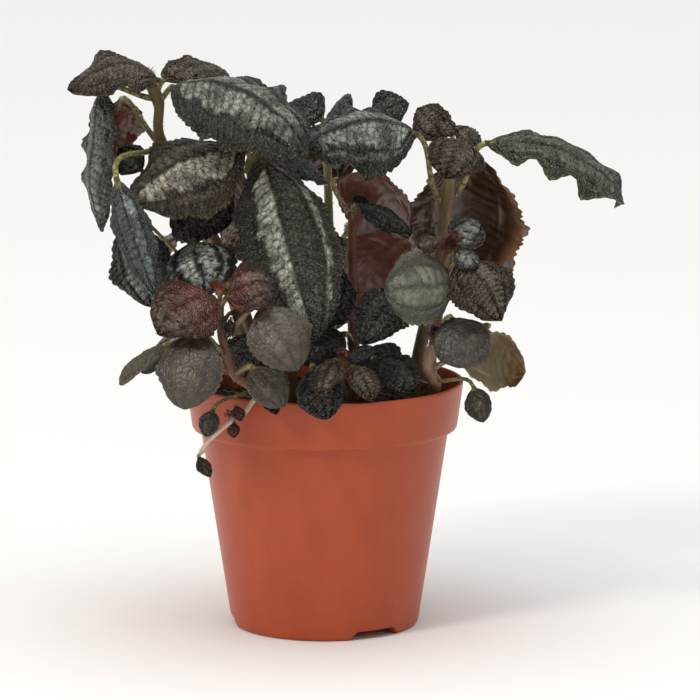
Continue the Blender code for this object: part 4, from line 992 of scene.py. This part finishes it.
def stemMaterial():
    # soft green-brown bark of a succulent stem: satin, with short streaks along it
    material, tree, shader = newMaterial("succulentStemSkin", {"Roughness": 0.48, "Specular IOR Level": 0.4})
    tint = addNode(tree, "ShaderNodeAttribute", {"attribute_name": "tint"})
    place = addNode(tree, "ShaderNodeTexCoord").outputs["Object"]
    stretched = addNode(tree, "ShaderNodeMapping", None, {"Vector": place, "Scale": (1, 1, 0.2)})
    streaks = addNode(tree, "ShaderNodeTexNoise", None, {
        "Vector": stretched.outputs["Vector"], "Scale": 1100.0, "Detail": 3.0})  # 0.9 mm wide
    shade = addNode(tree, "ShaderNodeMapRange", None, {
        "Value": streaks.outputs["Fac"], "From Min": 0.3, "From Max": 0.7, "To Min": 0.78, "To Max": 1.2})
    coloured = addNode(tree, "ShaderNodeVectorMath", {"operation": "SCALE"})
    tree.links.new(tint.outputs["Color"], coloured.inputs[0])
    tree.links.new(shade.outputs["Result"], coloured.inputs["Scale"])
    tree.links.new(coloured.outputs["Vector"], shader.inputs["Base Color"])
    bump = addNode(tree, "ShaderNodeBump", None, {
        "Height": streaks.outputs["Fac"], "Strength": 0.5, "Distance": 0.0003})
    tree.links.new(bump.outputs["Normal"], shader.inputs["Normal"])
    return material


stemShape = {
    "sides": 20,
    "perSpan": 10,
    "nodeSwell": 0.28,  # share of the radius
    "nodeLength": 2.6,  # millimetres
    "hairsPerStem": 420,
    "hairLength": (0.5, 1.4),
    "hairThickness": 0.07,
    "seed": 23,
}
skin, hair = stemMaterial(), hairMaterial()


def makeStem(row):
    # a round bar along a smooth path, swollen where leaves join: radius (1 + swell exp(-(d / length)^2))
    name, radii, footColour, topColour, points = row
    random = np.random.default_rng(stemShape["seed"] + len(points) + len(name))
    path = smoothCurve(points, stemShape["perSpan"])
    stem = {"path": smoothCurve(points, 6), "radii": radii, "top": linearColour(topColour)}
    joints = [(leaf[2], leaf[3]) for leaf in leaves if leaf[1] == name]
    joints += [(leaf[1], leaf[2]) for leaf in youngLeaves if leaf[0] == name]
    radius = np.linspace(radii[0], radii[1], len(path))
    swell = np.zeros(len(path))
    for height, near in joints:
        spot, _, _ = jointOn(stem["path"], radii, height, np.array(near, float))
        swell = np.maximum(swell, groove(np.linalg.norm(path - spot, axis=1), stemShape["nodeLength"]))
    rings, outward = tubeRings(path, radius * (1 + stemShape["nodeSwell"] * swell), stemShape["sides"])
    share = np.linspace(0, 1, len(path))[:, None, None]
    colour = linearColour(footColour) * (1 - share) + stem["top"] * share
    colour = colour * (1 - 0.25 * swell)[:, None, None] * np.ones((1, stemShape["sides"], 1))
    flat, size = rings.reshape(-1, 3), stemShape["sides"]
    faces = ringFaces(len(path), size)
    piece = makePiece("stem_" + name + "_skin", flat, faces, [skin], colour.reshape(-1, 3))
    settle(piece, "stem_skin", "stem_" + name)
    count = stemShape["hairsPerStem"]
    k, j = random.integers(2 + len(path) // 8, len(path), count), random.integers(0, size, count)
    stem["hairRoots"], stem["hairAims"] = [rings[k, j]], [outward[k, j]]
    return stem


def joinHairs(name, stem):
    random = np.random.default_rng(stemShape["seed"])
    roots, aims = np.vstack(stem["hairRoots"]), np.vstack(stem["hairAims"])
    aims = aims + random.normal(0, 0.35, aims.shape)
    lengths = random.uniform(*stemShape["hairLength"], len(roots))
    points, faces = hairPoints(roots, aims, lengths, stemShape["hairThickness"])
    piece = makePiece("stem_" + name + "_hairs", points, faces, [hair])
    settle(piece, "stem_skin")


slotOfLook = {"crown": "leaf_bronze", "smoothBronze": "leaf_bronze", "mauveBronze": "leaf_bronze", "greyBronze": "leaf_bronze",
              "silver": "leaf_silver", "greatSilver": "leaf_silver", "brownSilver": "leaf_silver", "bright": "leaf_silver",
              "twoBands": "leaf_silver", "green": "leaf_grey_green", "olive": "leaf_grey_green",
              "red": "leaf_young_red", "bud": "leaf_young_red"}


def joinRings(grown):
    # several leaves of rings as one list of points, faces, colours, map places and bullate values
    points, faces, tints, maps, bullate, start = [], [], [], [], [], 0
    for rings, tint, leafMap, rough, _ in grown:
        count, size = rings.shape[:2]
        points.append(rings.reshape(-1, 3))
        tints.append(tint.reshape(-1, 3))
        maps.append(leafMap.reshape(-1, 2))
        bullate.append(rough.ravel())
        faces.append(ringFaces(count, size) + start)
        start += count * size
    return np.vstack(points), np.vstack(faces), np.vstack(tints), np.vstack(maps), np.concatenate(bullate)


def closedRings(path, radii, sides, tint):
    # a bar of rings in one colour, in the form that joinRings takes
    rings, _ = tubeRings(path, radii, sides)
    count = len(path)
    return rings, np.ones((count, sides, 3)) * tint, np.zeros((count, sides, 2)), -np.ones((count, sides)), None


def budCluster(centre, spread, count, random):
    # pointed scales of 1 to 2 mm that stand out on all sides of one point
    t = np.linspace(0, 1, 8)
    grown = []
    for aimAt in unit(random.normal(0, 1, (count, 3))):
        size = random.uniform(*growth["scaleSize"])
        path = centre + aimAt * (spread * 0.35 + t[:, None] * size * 2)
        tint = linearColour(growth["scaleColours"][random.integers(len(growth["scaleColours"]))])
        grown.append(closedRings(path, 0.08 + size * 0.5 * np.sin(math.pi * t ** 0.7) ** 0.8, 8, tint))
    return grown


def threadTangle(centre, spread, count, random):
    # thin dried flower stalks that wander about a point
    grown = []
    for _ in range(count):
        steps = random.normal(0, spread * 0.3, (7, 3)).cumsum(axis=0)
        steps = steps * np.minimum(1, spread / (np.linalg.norm(steps, axis=1, keepdims=True) + 1e-6))
        path = smoothCurve(centre + steps, 4)
        tint = linearColour(growth["threadColour"]) * random.uniform(0.5, 1.6)
        grown.append(closedRings(path, growth["threadSize"], 5, tint))
    return grown


def hairTuft(centre, spread, count, random):
    # dark red hairs like a star, of random lengths
    aims = unit(random.normal(0, 1, (count, 3)) + (0, -0.4, 0.5))
    roots = centre + aims * spread * random.uniform(0.1, 0.45, (count, 1))
    return hairPoints(roots, aims, random.uniform(0.35, 0.8, count) * spread, growth["tuftHair"])


# small growth: stem, place, spread in millimetres and number. The sizes are in millimetres too.
growth = {
    "buds": [("runner", (-40, -60.5, 103), 2.0, 26), ("runner", (-36, -61, 103), 1.8, 22),
             ("front_left", (-44, -58, 154), 1.6, 18), ("front_small", (7.5, -46, 126), 1.5, 16),
             ("right_front", (47, -38, 135), 1.6, 22), ("left_tall", (-77, 6, 239), 1.8, 20)],
    "threads": [("front_left", (-40, -58, 141), 4.0, 34), ("front_left", (-39, -58, 136), 2.6, 14),
                ("right_front", (46, -36, 131), 3.0, 16), ("left_tall", (-58, -8, 172), 4.5, 22)],
    "tufts": [("right_front", (53, -36, 171), 8.0, 300), ("front_small", (7.5, -46, 126), 4.0, 120),
              ("right_front", (46, -40, 134), 4.5, 120), ("left_tall", (-75, 2, 239), 4.0, 100)],
    "scaleSize": (0.6, 1.05),
    "scaleColours": ["#5e2a20", "#6f3427", "#4a231b", "#7d4a3a"],
    "threadSize": 0.14,
    "threadColour": "#4c3427",
    "tuftHair": 0.16,
    "tuftColour": "#58241e",
    "seed": 61,
}
tuftHair = newMaterial("redLeafHair", {
    "Base Color": (*linearColour(growth["tuftColour"]), 1), "Roughness": 0.45, "Specular IOR Level": 0.5})[0]

grownStems = {row[0]: makeStem(row) for row in stems}
print("stems made:", len(grownStems))

for number, (name, stemName, joint, base, tip, face, arch, width, fold, blunt, lookName) in enumerate(leaves):
    random = np.random.default_rng(500 + number)
    stem = grownStems[stemName]
    grown = growLeaf((base, tip, face, arch, width, fold, blunt), lookName, joint, stem, False, random)
    points, faces, *layers = joinRings([grown])
    material = leafSkins[skinOfLook.get(lookName, "quilted")]
    piece = makePiece("leaf_" + name + "_blade", points, faces, [material], *layers)
    settle(piece, slotOfLook.get(lookName, "leaf_dark"), "leaf_" + name)
    stem["hairRoots"].append(grown[-1][0])
    stem["hairAims"].append(grown[-1][1])
print("leaves made:", len(leaves))

for stemName, stem in grownStems.items():
    grown = []
    for number, (owner, joint, base, tip, face, arch, width, fold, lookName) in enumerate(youngLeaves):
        if owner == stemName:
            random = np.random.default_rng(900 + number)
            shape = (base, tip, face, arch, width, fold, leafShape["youngBlunt"])
            grown.append(growLeaf(shape, lookName, joint, stem, True, random))
    random = np.random.default_rng(growth["seed"])
    for kind, make in (("buds", budCluster), ("threads", threadTangle)):
        for owner, *setup in growth[kind]:
            grown += make(*setup, random) if owner == stemName else []
    tufts = [hairTuft(*setup, random) for owner, *setup in growth["tufts"] if owner == stemName]
    for number, (points, faces) in enumerate(tufts):
        settle(makePiece(f"tuft_{stemName}_{number}", points, faces, [tuftHair]), "leaf_young_red")
    if grown:
        points, faces, *layers = joinRings(grown)
        piece = makePiece("young_leaves_" + stemName, points, faces, [leafSkins["fine"]], *layers)
        settle(piece, "leaf_young_red", "stem_" + stemName)
    joinHairs(stemName, stem)
print("young leaves and hairs made:", len(youngLeaves))

total = sum(sum(len(p.vertices) - 2 for p in thing.data.polygons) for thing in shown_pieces())
print("triangles in all:", total)
